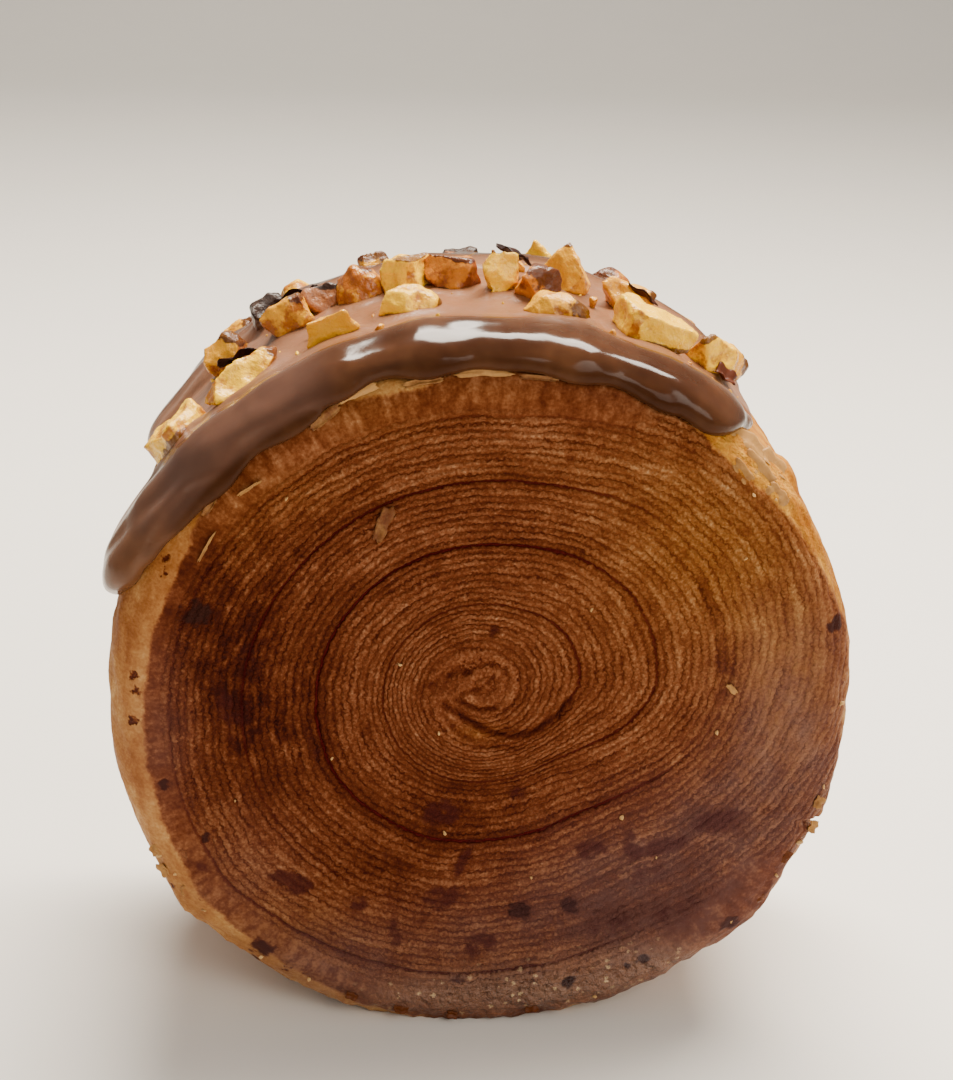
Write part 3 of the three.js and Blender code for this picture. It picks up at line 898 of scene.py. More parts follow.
class NutTone(Enum):
    """How far a piece of nut is roasted."""

    CREAM = "cream"
    GOLDEN = "golden"
    HAZEL = "hazel"
    SKIN = "skin"

    @property
    def slot(self) -> str:
        """The record's material slot."""
        return "nut_skin" if self is NutTone.HAZEL else "nut_" + self.value


@dataclass(frozen=True)
class NutFinish:
    """Roasted nut: pale broken flesh, browner outsides and a darker patch."""

    name: str
    flesh: str
    roast: str
    patch: str
    rough: float = 0.42

    def material(self, shared: SharedGroups) -> Material:
        """Builds the material.

        Args:
            shared: The shader groups.

        Returns:
            The material for nuts of this tone.
        """
        s = Surface(self.name, shared)
        outer, shade = s.attribute("outer"), s.attribute("shade")
        cloud = s.mottle(2.0 * MM, 4.2)
        toasted = s.total(s.times(cloud, 0.95), s.times(shade, 0.6), s.times(outer, 0.7), -0.52)
        toasted = s.total(toasted, s.times(s.centred(s.point, 0.9 * MM, 3.0), 0.7))
        toasted = s.minus(toasted, s.times(s.attribute("peak"), 1.1))
        colour = s.mixed(s.ramp(toasted, 0.0, 1.0), tint(self.flesh), tint(self.roast))
        ragged = s.times(s.centred(s.point, 1.3 * MM, 4.0), 1.3)
        edge = s.total(s.attribute("patch"), ragged)
        colour = s.mixed(s.ramp(edge, 0.42, 0.6, 0.0, 0.92), colour, tint(self.patch))
        s.coloured(colour, s.linear(s.noise(s.point, 1.2 * MM, 2.0), 0.25, self.rough - 0.12))
        grain = s.times(s.noise(s.point, 0.45 * MM, 3.0), 0.14)
        s.raised(s.total(grain, s.times(s.noise(s.point, 1.3 * MM, 2.0), 0.12)))
        s.shader.inputs["Specular IOR Level"].default_value = 0.35
        s.lit_through(0.12, 0.8 * MM)
        return s.material


NUT_FINISHES = {
    NutTone.CREAM: NutFinish("nut_cream", "f2bc12", "a8640e", "5a2c0c", 0.28),
    NutTone.GOLDEN: NutFinish("nut_golden", "dc9c14", "94500e", "48200b", 0.28),
    NutTone.HAZEL: NutFinish("nut_hazel", "c27820", "7a3c10", "42190c", 0.30),
    NutTone.SKIN: NutFinish("nut_skin", "8f5830", "4c2816", "1b0c09", 0.38),
}


@dataclass(frozen=True)
class FlakeFinish:
    """Thin flakes, from cream at a shade of -1 over light at 0 to dark at 1."""

    name: str
    cream: str
    light: str
    dark: str
    rough: float = 0.4
    glow: float = 0.0

    def material(self, shared: SharedGroups) -> Material:
        """Builds the material.

        Args:
            shared: The shader groups.

        Returns:
            The material for the flakes.
        """
        s = Surface(self.name, shared)
        cloud = s.uneven(1.8 * MM, 2.4)
        tone = s.total(s.attribute("shade"), s.times(cloud, 0.6))
        rough = s.linear(s.noise(s.point, 1 * MM), 0.2, self.rough - 0.1)
        pale = s.mixed(s.ramp(tone, -1.0, 0.0), tint(self.cream), tint(self.light))
        s.coloured(s.mixed(s.ramp(tone, 0.0, 1.0), pale, tint(self.dark)), rough)
        s.raised(s.times(s.noise(s.point, 0.6 * MM, 3.0), 0.10))
        s.shader.inputs["Specular IOR Level"].default_value = 0.15
        s.lit_through(self.glow, 0.5 * MM)
        return s.material


PASTRY_LEAF = FlakeFinish("pastry_flake", "bf9a66", "a57a44", "542604", 0.45, 0.12)
NUT_SKIN_LEAF = FlakeFinish("nut_skin_flake", "1c0d0c", "1c0d0c", "5e2e1c", 0.35)


@dataclass(frozen=True)
class FloorFinish:
    """A plain pale table top."""

    colour: str = "e6e2dc"
    shadow: str = "d2cdc6"

    def material(self, shared: SharedGroups) -> Material:
        """Builds the material.

        Args:
            shared: The shader groups.

        Returns:
            The material for the floor.
        """
        s = Surface("pale_floor", shared)
        cloud = s.times(s.mottle(30 * MM, 1.5), 0.15)
        s.coloured(s.mixed(cloud, tint(self.colour), tint(self.shadow)), 0.6)
        return s.material


# Geometry trees


def geometry_tree(name: str, inputs: dict[str, float]) -> tuple[Tree, Graph, dict, Node]:
    """Starts a geometry tree with named sizes.

    Args:
        name: The tree's name.
        inputs: Each size's name and value.

    Returns:
        The tree, its graph, the inputs' sockets inside it and the output node.
    """
    tree = bpy.data.node_groups.new(name, "GeometryNodeTree")
    tree.interface.new_socket("Geometry", in_out="INPUT", socket_type="NodeSocketGeometry")
    tree.interface.new_socket("Geometry", in_out="OUTPUT", socket_type="NodeSocketGeometry")
    for label, value in inputs.items():
        kind = "NodeSocketInt" if isinstance(value, int) else "NodeSocketFloat"
        tree.interface.new_socket(label, in_out="INPUT", socket_type=kind)
    graph = Graph(tree)
    start = graph.node("NodeGroupInput")
    return tree, graph, dict(start.outputs.items()), graph.node("NodeGroupOutput")


def apply_tree(piece: Thing, tree: Tree, inputs: dict[str, float]) -> None:
    """Puts a geometry tree on a piece and sets its named sizes.

    Args:
        piece: The object.
        tree: The geometry tree.
        inputs: Each size's name and value.
    """
    modifier = piece.modifiers.new(tree.name, "NODES")
    modifier.node_group = tree
    for item in tree.interface.items_tree:
        if item.in_out == "INPUT" and item.name in inputs:
            modifier[item.identifier] = inputs[item.name]


def named(graph: Graph, name: str) -> Socket:
    """A number kept on the mesh, in a geometry tree."""
    return graph.out("GeometryNodeInputNamedAttribute", {"Name": name}, data_type="FLOAT")


def displaced(graph: Graph, geometry: Value, height: Value) -> Socket:
    """Moves a surface out along its normals by a height in metres."""
    normal = graph.out("GeometryNodeInputNormal")
    offset = graph.scaled(normal, height)
    return graph.out("GeometryNodeSetPosition", {"Geometry": geometry, "Offset": offset})


def dressed(graph: Graph, geometry: Value, material: Material, end: Node) -> None:
    """Ends a geometry tree with real geometry in its material."""
    real = graph.out("GeometryNodeRealizeInstances", {"Geometry": geometry})
    shown = graph.out("GeometryNodeSetMaterial", {"Geometry": real, "Material": material})
    graph.feed(end.inputs[0], shown)


# The roll


@dataclass(frozen=True)
class Patch:
    """A soft patch on a face: its middle, its half width and half height, and its strength."""

    x: float
    z: float
    wide: float
    high: float
    strength: float = 1.0

    def at(self, x: np.ndarray, z: np.ndarray) -> np.ndarray:
        """How strong the patch is at places on the face."""
        away = ((x - self.x) / self.wide) ** 2 + ((z - self.z) / self.high) ** 2
        return self.strength * np.exp(-away)


PATCHES = {
    "gold": (
        Patch(26, 26, 15, 16, 0.9), Patch(38, 11, 9, 17, 0.75), Patch(43, 2, 7, 13, 0.5),
        Patch(4, 36, 26, 5, 0.2), Patch(-26, 32, 9, 5, 0.45), Patch(-33, 26, 6, 7, 0.4),
        Patch(-1, -2, 3, 1.4, 0.7), Patch(14, 10, 14, 13, 0.12), Patch(-17, 42.5, 9, 4, 0.55),
        Patch(-1, 45.5, 11, 3.5, 0.42), Patch(-26, -34, 10, 7, 0.75), Patch(-38, -22, 5, 9, 0.4),
        Patch(34, -6, 12, 7, 0.2),
    ),
    "dark": (
        Patch(-33, 8, 7, 16, 0.75), Patch(-26, -2, 6, 10, 0.5), Patch(-6, -16, 9, 7, 0.4),
        Patch(-33, 1, 5, 6, 0.4), Patch(-13.6, -23, 6, 4, 0.35), Patch(18, -31.4, 5, 4, 0.4),
        Patch(-30, 22, 10, 9, 0.35), Patch(2, -12, 14, 6, 0.25), Patch(14, -31, 10, 4, 0.3),
        Patch(-40, 16, 5, 8, 0.3), Patch(31, -15.5, 6, 3, 0.4), Patch(25, -28, 7, 6, 0.4),
        Patch(34, -24, 6, 4, 0.3),
    ),
    "violet": (
        Patch(41, 1, 9, 14, 0.8), Patch(31, -18, 12, 9, 1.0), Patch(-22, -36, 9, 6, 0.5),
        Patch(18, -26, 12, 8, 0.9), Patch(2, -33, 14, 6, 0.5), Patch(-43, -3, 4, 13, 0.45),
        Patch(40, -10, 8, 9, 0.8), Patch(28, -33, 12, 8, 0.9), Patch(-34, -26, 8, 10, 0.4),
        Patch(-18, -40, 12, 6, 0.6),
    ),
    "grease": (
        Patch(-6, -43, 9, 3.2, 0.7), Patch(10, -42, 11, 3.8), Patch(24, -38.5, 8, 3.6, 0.8),
    ),
}


@dataclass(frozen=True)
class Fold:
    """A fold at the sheet's inner end: its line as points (x, z), half width and strength."""

    line: tuple[tuple[float, float], ...]
    wide: float
    strength: float


CENTRE_FOLDS = (
    Fold(((-5.6, 2.2), (-3.8, 0.9), (-2, -0.3), (0.6, -2), (3.4, -2.6), (6.7, -1.7), (9.5, 0.5),
          (11.2, 3)), 0.75, 1.0),
    Fold(((-5.6, 0.5), (-3.4, -2.3), (-0.3, -4), (3.9, -4.2)), 0.6, 0.55),
    Fold(((-3.9, 2.8), (-2.2, 1.9), (-0.6, 1.4), (1.2, 1.6)), 0.55, 0.7),
    Fold(((-3.2, 3.6), (-0.6, 4.6), (0.4, 5.6)), 0.5, 0.6),
    Fold(((-2.9, 6.6), (-2.6, 6.8)), 0.7, 0.8),
    Fold(((-5.0, 6.2), (-4.2, 6.5)), 0.6, 0.7),
    Fold(((-7.5, 4.9), (-6.9, 5.2)), 0.6, 0.7),
    Fold(((0.7, 12.4), (0.8, 13.1)), 0.9, 0.6),
)

# Burnt bubbles: x, z and radius
BURNT_SPOTS = (
    (-37.5, 15.2, 1.9), (-42.5, -9.7, 0.9), (-36.8, -17.5, 0.9), (-29.6, -35.2, 1.7),
    (5.6, -29.2, 1.6), (12.5, -28.5, 1.4), (34.5, -31.3, 1.4), (23.3, -37.3, 0.9),
    (21.1, -38.3, 0.7), (12.8, -40.7, 1.2), (46, 13.2, 1.2),
)

# Dark blotches of the faces: x, z, half length, half width, degrees of tilt and strength
BRUISES = (
    (-5.5, -13.9, 2.4, 1.7, 20, 1.0), (-2.3, -21, 3.2, 0.8, 70, 0.8), (-5, -27, 2.6, 1.7, 20, 0.9),
    (-16.9, -27.8, 1.7, 1.1, 0, 0.9), (-25.5, -24.4, 2.6, 1.3, -25, 1.3),
    (0, -34.9, 2.2, 1.6, 30, 1.0), (-11.5, -32.7, 0.9, 2.6, 0, 0.75),
    (-2.8, -39.8, 1.4, 0.9, 10, 0.8), (4.8, -11, 1.3, 1.1, 0, 0.75), (6, -8.8, 2.2, 1.6, 0, 0.4),
    (14.9, -19.9, 2.1, 1.3, -10, 0.9), (20.4, -19.4, 1.0, 3.0, 10, 0.85),
    (24.2, -19.2, 4.2, 1.5, 22, 0.9), (32.3, -15.4, 3.2, 1.6, 10, 1.0),
    (23.6, -23.4, 3.4, 1.8, 15, 0.6), (30.7, -22.6, 3.6, 2.0, 20, 0.35),
    (27.4, -29.5, 3.8, 2.8, 30, 0.5), (18, -31.6, 4.0, 2.4, 10, 0.5), (-37, -23, 1.4, 2.2, 20, 0.6),
    (-33.2, 1, 2.2, 4.0, 10, 0.7), (-31, 9, 1.6, 3.0, 0, 0.5), (-22.5, -3, 1.4, 3.4, 0, 0.45),
    (0.8, 12.6, 0.9, 0.9, 0, 0.5), (0.6, 19.2, 1.2, 0.8, 0, 0.4), (-12, -20.6, 1.6, 0.9, -20, 0.5),
    (-19.5, -34, 2.2, 1.2, 30, 0.35), (7, -36.5, 1.8, 1.2, 0, 0.5),
)

# How far from the disc's middle the pale shoulder starts, by degrees from the right
PALE_EDGE = (
    (0, 49.4), (20, 49.0), (35, 47.3), (50, 46.4), (58, 47.2), (70, 49.0), (84, 48.8), (87, 47.5),
    (95, 47.5), (97, 48.6), (99, 47.3), (101, 46.7), (107, 46.7), (113, 47.4), (115, 48.6),
    (130, 49.2), (140, 47.2), (148, 45.2), (160, 44.7), (180, 44.8), (200, 45.2), (220, 45.5),
    (240, 46.3), (260, 47.9), (290, 49.2), (320, 49.8), (345, 49.9), (360, 49.4),
)


@dataclass
class LaminatedRoll:
    """The baked roll: one closed skin over both faces, the shoulders and the rim.

    The strides say how many columns a ring skips, from which share of the way out. The blister is
    its place round and across the rim, its length, its width and its height.
    """

    size: RollSize = ROLL
    spiral: SpiralRule = SPIRAL
    columns: int = 320
    ring_pitch: float = 0.28
    shoulder_rings: int = 26
    rim_rows: int = 24
    strides: tuple[tuple[float, int], ...] = ((0.46, 1), (0.15, 2), (0.06, 4), (0.0, 8))
    crowding: float = 2.5
    crowded: float = 4.0
    sheet_end: float = -20.0
    sheet_end_depth: float = 1.6
    sheet_end_width: float = 1.5
    sheet_end_edge: float = 0.35
    lap: float = 0.5
    lap_reach: float = 5.0
    blister: tuple[float, float, float, float, float] = (50.0, -15.0, 7.0, 5.5, 1.5)
    relief: dict[str, float] = field(default_factory=lambda: {
        "Layers": 9.0, "Ridge Height": 0.26 * MM, "Seam Depth": 0.38 * MM, "Seam Width": 0.034,
        "Skin Height": 0.35 * MM, "Grain Height": 0.12 * MM, "Grease Height": 1.7 * MM,
        "Ragged Height": 2.0 * MM})

    def column_angles(self) -> np.ndarray:
        """Angles of the mesh's columns from the right, closer together at the sheet's end."""
        fine = np.linspace(0, 360, 7201)
        gap = (fine - self.sheet_end + 180) % 360 - 180
        weight = 1 + self.crowding * np.exp(-(gap / self.crowded) ** 2)
        travelled = np.concatenate([[0], np.cumsum((weight[1:] + weight[:-1]) / 2)])
        wanted = np.arange(self.columns) / self.columns * travelled[-1]
        return np.radians(np.interp(wanted, travelled, fine))

    def rings(self) -> tuple[list[np.ndarray], np.ndarray]:
        """Lays out the rings of corners from the front face's centre to the rear one's.

        Returns:
            The corner numbers of each ring, and all corners.
        """
        size, angle = self.size, self.column_angles()
        edge = size.face_radius * np.stack([np.cos(angle), np.sin(angle)], axis=-1)
        centre = np.array([self.spiral.centre_x, self.spiral.centre_z])
        count = round(size.face_radius / self.ring_pitch)
        shares = np.arange(1, count + 1) / count
        layers = []
        for share in shares:
            stride = next(step for beyond, step in self.strides if share > beyond)
            flat = centre + share * (edge[::stride] - centre)
            layers.append(np.insert(flat, 1, -size.thickness / 2, axis=1))
        for k in range(1, self.shoulder_rings + 1):
            bend = k / self.shoulder_rings * math.pi / 2
            flat = edge * (1 + size.shoulder * math.sin(bend) / size.face_radius)
            depth = -size.half_rim - size.shoulder * math.cos(bend)
            layers.append(np.insert(flat, 1, depth, axis=1))
        for k in range(1, self.rim_rows // 2):
            depth = -size.half_rim * (1 - 2 * k / self.rim_rows)
            layers.append(np.insert(edge * size.radius / size.face_radius, 1, depth, axis=1))
        middle = np.insert(edge * size.radius / size.face_radius, 1, 0.0, axis=1)
        mirrored = [layer * [1, -1, 1] for layer in reversed(layers)]
        pole = np.array([[centre[0], size.thickness / 2, centre[1]]])
        stacked = [pole * [1, -1, 1], *layers, middle, *mirrored, pole]
        starts = np.cumsum([0] + [len(layer) for layer in stacked])
        return [np.arange(a, b) for a, b in zip(starts[:-1], starts[1:])], np.concatenate(stacked)

    @staticmethod
    def bridged(a: np.ndarray, b: np.ndarray) -> list[tuple[int, ...]]:
        """Joins one ring to the next, which has as many corners, twice or half as many, or one.

        Args:
            a: Corner numbers of the ring nearer the front.
            b: Corner numbers of the next ring.

        Returns:
            The faces between them.
        """
        a2, b2 = np.roll(a, -1), np.roll(b, -1)
        if len(a) == 1:
            return [(a[0], p, q) for p, q in zip(b, b2)]
        if len(b) == 1:
            return [(p, b[0], q) for p, q in zip(a, a2)]
        if len(a) == len(b):
            return list(zip(a, b, b2, a2))
        if len(b) == 2 * len(a):
            halves = zip(a, a2, b[::2], b[1::2], b2[1::2])
            return [f for p, q, r, s, t in halves for f in ((p, r, s), (p, s, q), (q, s, t))]
        halves = zip(b, b2, a[::2], a[1::2], a2[1::2])
        return [f for p, q, r, s, t in halves for f in ((r, p, s), (s, p, q), (s, q, t))]

    def shaped(self, points: np.ndarray) -> np.ndarray:
        """Gives the plain drum its uneven outline, sheet end, blister and resting flat.

        Args:
            points: Corners of the plain drum.

        Returns:
            The corners of the baked roll.
        """
        size = self.size
        moved = size.baked(points)
        radius = np.hypot(moved[:, 0], moved[:, 2])
        angle = np.degrees(np.arctan2(moved[:, 2], moved[:, 0]))
        off = np.radians((angle - self.sheet_end + 180) % 360 - 180) * radius
        behind = (off + self.sheet_end_width) / self.sheet_end_width
        before = (self.sheet_end_edge - off) / self.sheet_end_edge
        depth = np.clip(np.minimum(behind, before), 0, 1)
        cut = self.sheet_end_depth * depth * smooth(size.radius - 6, size.radius - 0.5, radius)
        lap = self.lap * np.exp(-np.maximum(off, 0) / self.lap_reach) * (off > 0)
        lap = lap * smooth(46, 50, radius)
        shrink = 1 + (lap - cut) / np.maximum(radius, 1)
        moved[:, 0] *= shrink
        moved[:, 2] *= shrink
        around, across, long, wide, lift = self.blister
        at, out, along = size.on_rim(np.array([around]), across)
        gap = moved - at[0]
        u = gap @ along[0] / (long / 2)
        v = gap @ np.cross(out[0], along[0]) / (wide / 2)
        near = np.abs(gap @ out[0]) < 4
        moved += np.outer(lift * np.clip(1 - u * u - v * v, 0, 1) ** 0.7 * near, out[0])
        moved[:, 2] = np.maximum(moved[:, 2], -size.axis_height)
        return moved

    def marks(self, points: np.ndarray) -> dict[str, np.ndarray]:
        """Works out what shows where: laminations, seam, colours of baking, burnt spots.

        Args:
            points: Corners of the plain drum.

        Returns:
            One number for each corner under each name.
        """
        x, y, z = points.T
        share, turn = self.spiral.polar(x, z)
        angle = 360 * np.mod(turn, 1.0)
        radius = np.hypot(x, z)
        around = np.degrees(np.arctan2(z, x)) % 360
        face = np.abs(y) > self.size.half_rim + 1
        mirror = np.where(y > 0, -x, x)
        skin_band = smooth(50, 68, angle) * (1 - smooth(322, 334, angle))
        limit = 0.865 + 0.02 * np.sin(np.radians(3 * angle)) - 0.035 * hump(angle, 145, 24)
        limit = blend(1.04, limit, skin_band)
        bare = (1 - smooth(limit - 0.03, limit + 0.03, share)) * face
        start = np.interp(around, *np.transpose(PALE_EDGE))
        pale = smooth(start - 0.9, start + 0.9, radius)
        rim = np.clip(1 - (np.abs(y) - self.size.half_rim) / (0.8 * self.size.shoulder), 0, 1)
        burn = np.full(len(points), -1.0)
        for sx, sz, r in BURNT_SPOTS:
            burn = np.maximum(burn, 1 - np.hypot(mirror - sx, z - sz) / (1.25 * r))
        bruise = np.zeros(len(points))
        for bx, bz, long, wide, tilt, strength in BRUISES:
            cos, sin = cos_sin(tilt)
            u = ((mirror - bx) * cos + (z - bz) * sin) / long
            v = ((z - bz) * cos - (mirror - bx) * sin) / wide
            bruise = np.maximum(bruise, strength * np.clip(1.5 - 0.9 * np.hypot(u, v), 0, 1))
        pits = smooth(120, 160, around) * (1 - smooth(225, 260, around)) * smooth(43, 45, radius)
        rag = 0.6 * hump(around, 325, 22) + hump(around, 268, 34) + 0.6 * hump(around, 216, 16)
        ragged = smooth(44.5, 47, radius) * rag
        honey = smooth(-5, 20, (around + 90) % 360 - 90) * (1 - smooth(75, 110, around))
        bronze = hump(around, 150, 20) + 0.8 * hump(around, 75, 12)
        patched = {name: np.clip(sum(patch.at(mirror, z) for patch in patches), 0, 1)
                   for name, patches in PATCHES.items()}
        patched["grease"] = patched["grease"] * face
        ring = 0.45 * hump(angle, 10, 34) * np.exp(-((share - 0.655) / 0.035) ** 2)
        patched["dark"] = np.clip(patched["dark"] + ring, 0, 1)
        return patched | {
            "sheet": self.spiral.sheet(share, turn), "bare": bare,
            "seam": self.seam_strength(share, angle) * face, "pale": np.maximum(pale, rim),
            "burn": np.where(np.abs(y) > 19, burn, -1.0), "bruise": bruise * face, "pits": pits,
            "fold": self.fold_depth(x, z) * face, "honey": honey, "bronze": bronze,
            "ragged": ragged * np.clip((np.abs(y) - 15) / 4, 0, 1),
        }

    @staticmethod
    def seam_strength(share: np.ndarray, angle: np.ndarray) -> np.ndarray:
        """How deep the seam shows: most on its second ring, and more on the left than on the right.

        Args:
            share: Shares of the way out.
            angle: Degrees from the right.

        Returns:
            The strength, from 0 to 1.
        """
        left = smooth(30, 80, angle) * (1 - smooth(285, 350, angle))
        inner = blend(0.55, 0.3, left) * smooth(0.2, 0.26, share)
        second = 0.45 + 0.55 * left
        third = 0.12 + 0.55 * smooth(40, 75, angle) * (1 - smooth(150, 230, angle))
        outer = 0.15 + 0.35 * smooth(190, 220, angle) * (1 - smooth(285, 315, angle))
        outer = outer * smooth(0.99, 0.8, share)
        strength = blend(inner, second, smooth(0.3, 0.37, share))
        strength = blend(strength, third, smooth(0.52, 0.56, share))
        return blend(strength, outer, smooth(0.72, 0.78, share))

    @staticmethod
    def fold_depth(x: np.ndarray, z: np.ndarray) -> np.ndarray:
        """How near places are to the folds at the sheet's inner end, from 0 to 1."""
        depth = np.zeros(len(x))
        for fold in CENTRE_FOLDS:
            line = np.array(fold.line)
            for a, b in zip(line[:-1], line[1:]):
                way = b - a
                t = np.clip(((x - a[0]) * way[0] + (z - a[1]) * way[1]) / (way @ way), 0, 1)
                gap = np.hypot(x - a[0] - t * way[0], z - a[1] - t * way[1])
                depth = np.maximum(depth, fold.strength * np.clip(1 - gap / fold.wide, 0, 1))
        return depth

    def map_corners(self, mesh: Mesh, points: np.ndarray) -> None:
        """Lays two maps over the faces, along the spiral and round the rim, unbroken in each face.

        Args:
            mesh: The roll's mesh.
            points: Corners of the plain drum.
        """
        corner = np.zeros(len(mesh.loops), np.int64)
        mesh.loops.foreach_get("vertex_index", corner)
        start = np.zeros(len(mesh.polygons), np.int64)
        count = np.zeros(len(mesh.polygons), np.int64)
        mesh.polygons.foreach_get("loop_start", start)
        mesh.polygons.foreach_get("loop_total", count)
        lead = corner[np.repeat(start + 2, count)]
        x, y, z = points.T
        share, turn = self.spiral.polar(x, z)
        whole = turn[corner] + np.round(turn[lead] - turn[corner])
        whole = np.where(share[corner] < 1e-6, turn[lead], whole)
        sheet = self.spiral.sheet(share[corner], whole)
        self.keep_map(mesh, "spiral", whole, sheet)
        around = np.mod(np.arctan2(z, x) / (2 * math.pi), 1.0)
        whole = around[corner] + np.round(around[lead] - around[corner])
        self.keep_map(mesh, "rim", whole * 2 * math.pi * self.size.radius, y[corner])

    @staticmethod
    def keep_map(mesh: Mesh, name: str, u: np.ndarray, v: np.ndarray) -> None:
        """Keeps a map of two numbers for each face corner."""
        layer = mesh.uv_layers.new(name=name)
        layer.uv.foreach_set("vector", np.stack([u, v], axis=-1).astype(np.float32).ravel())

    def relief_tree(self, material: Material) -> Tree:
        """The tree that raises the laminations, sinks the seam and roughens the skin.

        Args:
            material: The crust's material.

        Returns:
            The geometry tree.
        """
        tree, g, given, end = geometry_tree("crust_relief", self.relief)
        point = g.out("GeometryNodeInputPosition")
        drawn = lamination(g, named(g, "sheet"), point, given["Layers"])
        uneven = g.linear(g.noise(point, 1.0 * MM, 2.0), 0.8, 0.2)
        rise = g.minus(g.times(drawn["Crest"], uneven), g.times(drawn["Groove"], 0.4))
        lines = g.times(rise, named(g, "bare"), given["Ridge Height"])
        near = g.minus(1.0, g.math("DIVIDE", drawn["Seam"], given["Seam Width"]))
        near = g.times(g.math("MAXIMUM", near, 0.0), named(g, "seam"))
        near = g.math("MAXIMUM", near, named(g, "fold"))
        seam_cut = g.times(near, given["Seam Depth"])
        skin = g.times(g.centred(point, 6 * MM), given["Skin Height"])
        grain = g.times(g.centred(point, 1.6 * MM), given["Grain Height"])
        sink = g.times(g.math("MAXIMUM", named(g, "burn"), 0.0), -0.25 * MM)
        lumps = g.minus(g.noise(point, 3.2 * MM, 3.0), 0.4)
        lumps = g.times(lumps, named(g, "grease"), given["Grease Height"])
        torn = g.minus(g.noise(point, 2.2 * MM, 3.0), 0.55)
        torn = g.times(torn, named(g, "ragged"), given["Ragged Height"])
        height = g.minus(g.total(lines, skin, grain, sink, lumps, torn), seam_cut)
        dressed(g, displaced(g, given["Geometry"], height), material, end)
        return tree

    def build(self, material: Material) -> Thing:
        """Makes the roll.

        Args:
            material: The crust's material.

        Returns:
            The finished piece.
        """
        rings, points = self.rings()
        faces = [face for a, b in zip(rings[:-1], rings[1:]) for face in self.bridged(a, b)]
        faces = [tuple(int(corner) for corner in face) for face in faces]
        piece = new_mesh("croissant_crust", self.shaped(points), faces)
        for name, values in self.marks(points).items():
            store(piece.data, name, values)
        self.map_corners(piece.data, points)
        apply_tree(piece, self.relief_tree(material), self.relief)
        return finished(piece, "croissant_roll")


# The chocolate


@dataclass(frozen=True)
class Flow:
    """A flow of chocolate laid along the rim, its sizes at its left end and beyond.

    The end is the length of its round ends, and a lower full makes its section squarer.
    """

    start: float
    stop: float
    middle: tuple[float, float]
    half: tuple[float, float]
    high: tuple[float, float]
    end: float
    full: float
    lift: float = 0.0

    def mesh(self, name: str, steps: int = 150, sides: int = 40, caps: int = 12) -> Thing:
        """Makes the flow as a long round-ended form.

        Args:
            name: Name of the object.
            steps: Stations along the straight part.
            sides: Corners round the flow.
            caps: Stations along each round end.

        Returns:
            The object.
        """
        ends = 2 * self.end / (math.radians(self.stop - self.start) * ROLL.radius)
        straight = 2 / ends - 2
        cap = np.linspace(0, math.pi / 2, caps + 1)[1:]
        far = straight / 2
        body = np.linspace(-far, far, steps)
        y = np.concatenate([-far - np.sin(cap[::-1]), body, far + np.sin(cap)])
        wide = np.concatenate([np.cos(cap[::-1]), np.ones(steps), np.cos(cap)])
        turn = np.arange(sides) / sides * 2 * math.pi
        station, side = np.repeat(y, sides), np.tile(turn, len(y))
        px = np.repeat(wide, sides) * np.cos(side)
        pz = np.repeat(wide, sides) * np.sin(side)
        points = self.placed(px, station, pz, straight)
        first = np.arange(len(y) - 1)[:, None] * sides
        here, there = np.arange(sides)[None, :], np.roll(np.arange(sides), -1)[None, :]
        quads = np.stack([first + here, first + there, first + sides + there, first + sides + here],
                         axis=-1)
        piece = new_mesh(name, points, quads.reshape(-1, 4).tolist())
        closed = bmesh.new()
        closed.from_mesh(piece.data)
        bmesh.ops.remove_doubles(closed, verts=closed.verts, dist=WELD)
        bmesh.ops.recalc_face_normals(closed, faces=closed.faces)
        closed.to_mesh(piece.data)
        closed.free()
        return piece

    def placed(self, px: np.ndarray, py: np.ndarray, pz: np.ndarray, straight: float) -> np.ndarray:
        """Takes a round-ended form of radius 1 to its place on the rim.

        Args:
            px: Across the form.
            py: Along the form.
            pz: Up from the form's middle.
            straight: Length of the form's straight part.

        Returns:
            The places in the roll's own axes.
        """
        t = (py + straight / 2 + 1) / (straight + 2)
        around = blend(self.start, self.stop, t)
        turn = np.radians(around)
        wave = np.sin(turn * 19 + self.middle[0]) + 0.6 * np.sin(turn * 31 + 1)
        middle = blend(*self.middle, smooth(0, 0.35, t))
        half = blend(*self.half, smooth(0, 0.35, t)) + 0.45 * wave * min(1, self.end / 6)
        high = blend(*self.high, smooth(0, 0.4, t)) + 0.15 * wave
        fuller = np.sign(pz) * np.abs(pz) ** self.full
        point, out, _ = ROLL.on_rim(around, middle + px * half)
        return point + out * (self.lift + 0.35 * high + fuller * 0.65 * high)[:, None]


FLOWS = {
    "saddle": Flow(-59, 44.5, (0, 0), (18, 19), (2.1, 2.1), 7, 0.3),
    "front_lip": Flow(-73, 39.5, (-14.8, -16.9), (6.2, 5.6), (3.6, 2.9), 6, 0.6),
    "rear_lip": Flow(-63, 45, (16.5, 16.5), (6.2, 6), (3.7, 3), 6, 0.6),
    "left_fold": Flow(-66, -26, (-20.0, -21.9), (2.0, 2.0), (2.1, 1.6), 4, 0.6),
    "middle_fold": Flow(-24, 30, (-20.6, -21.4), (1.8, 1.6), (2.6, 2.4), 4, 0.7),
}


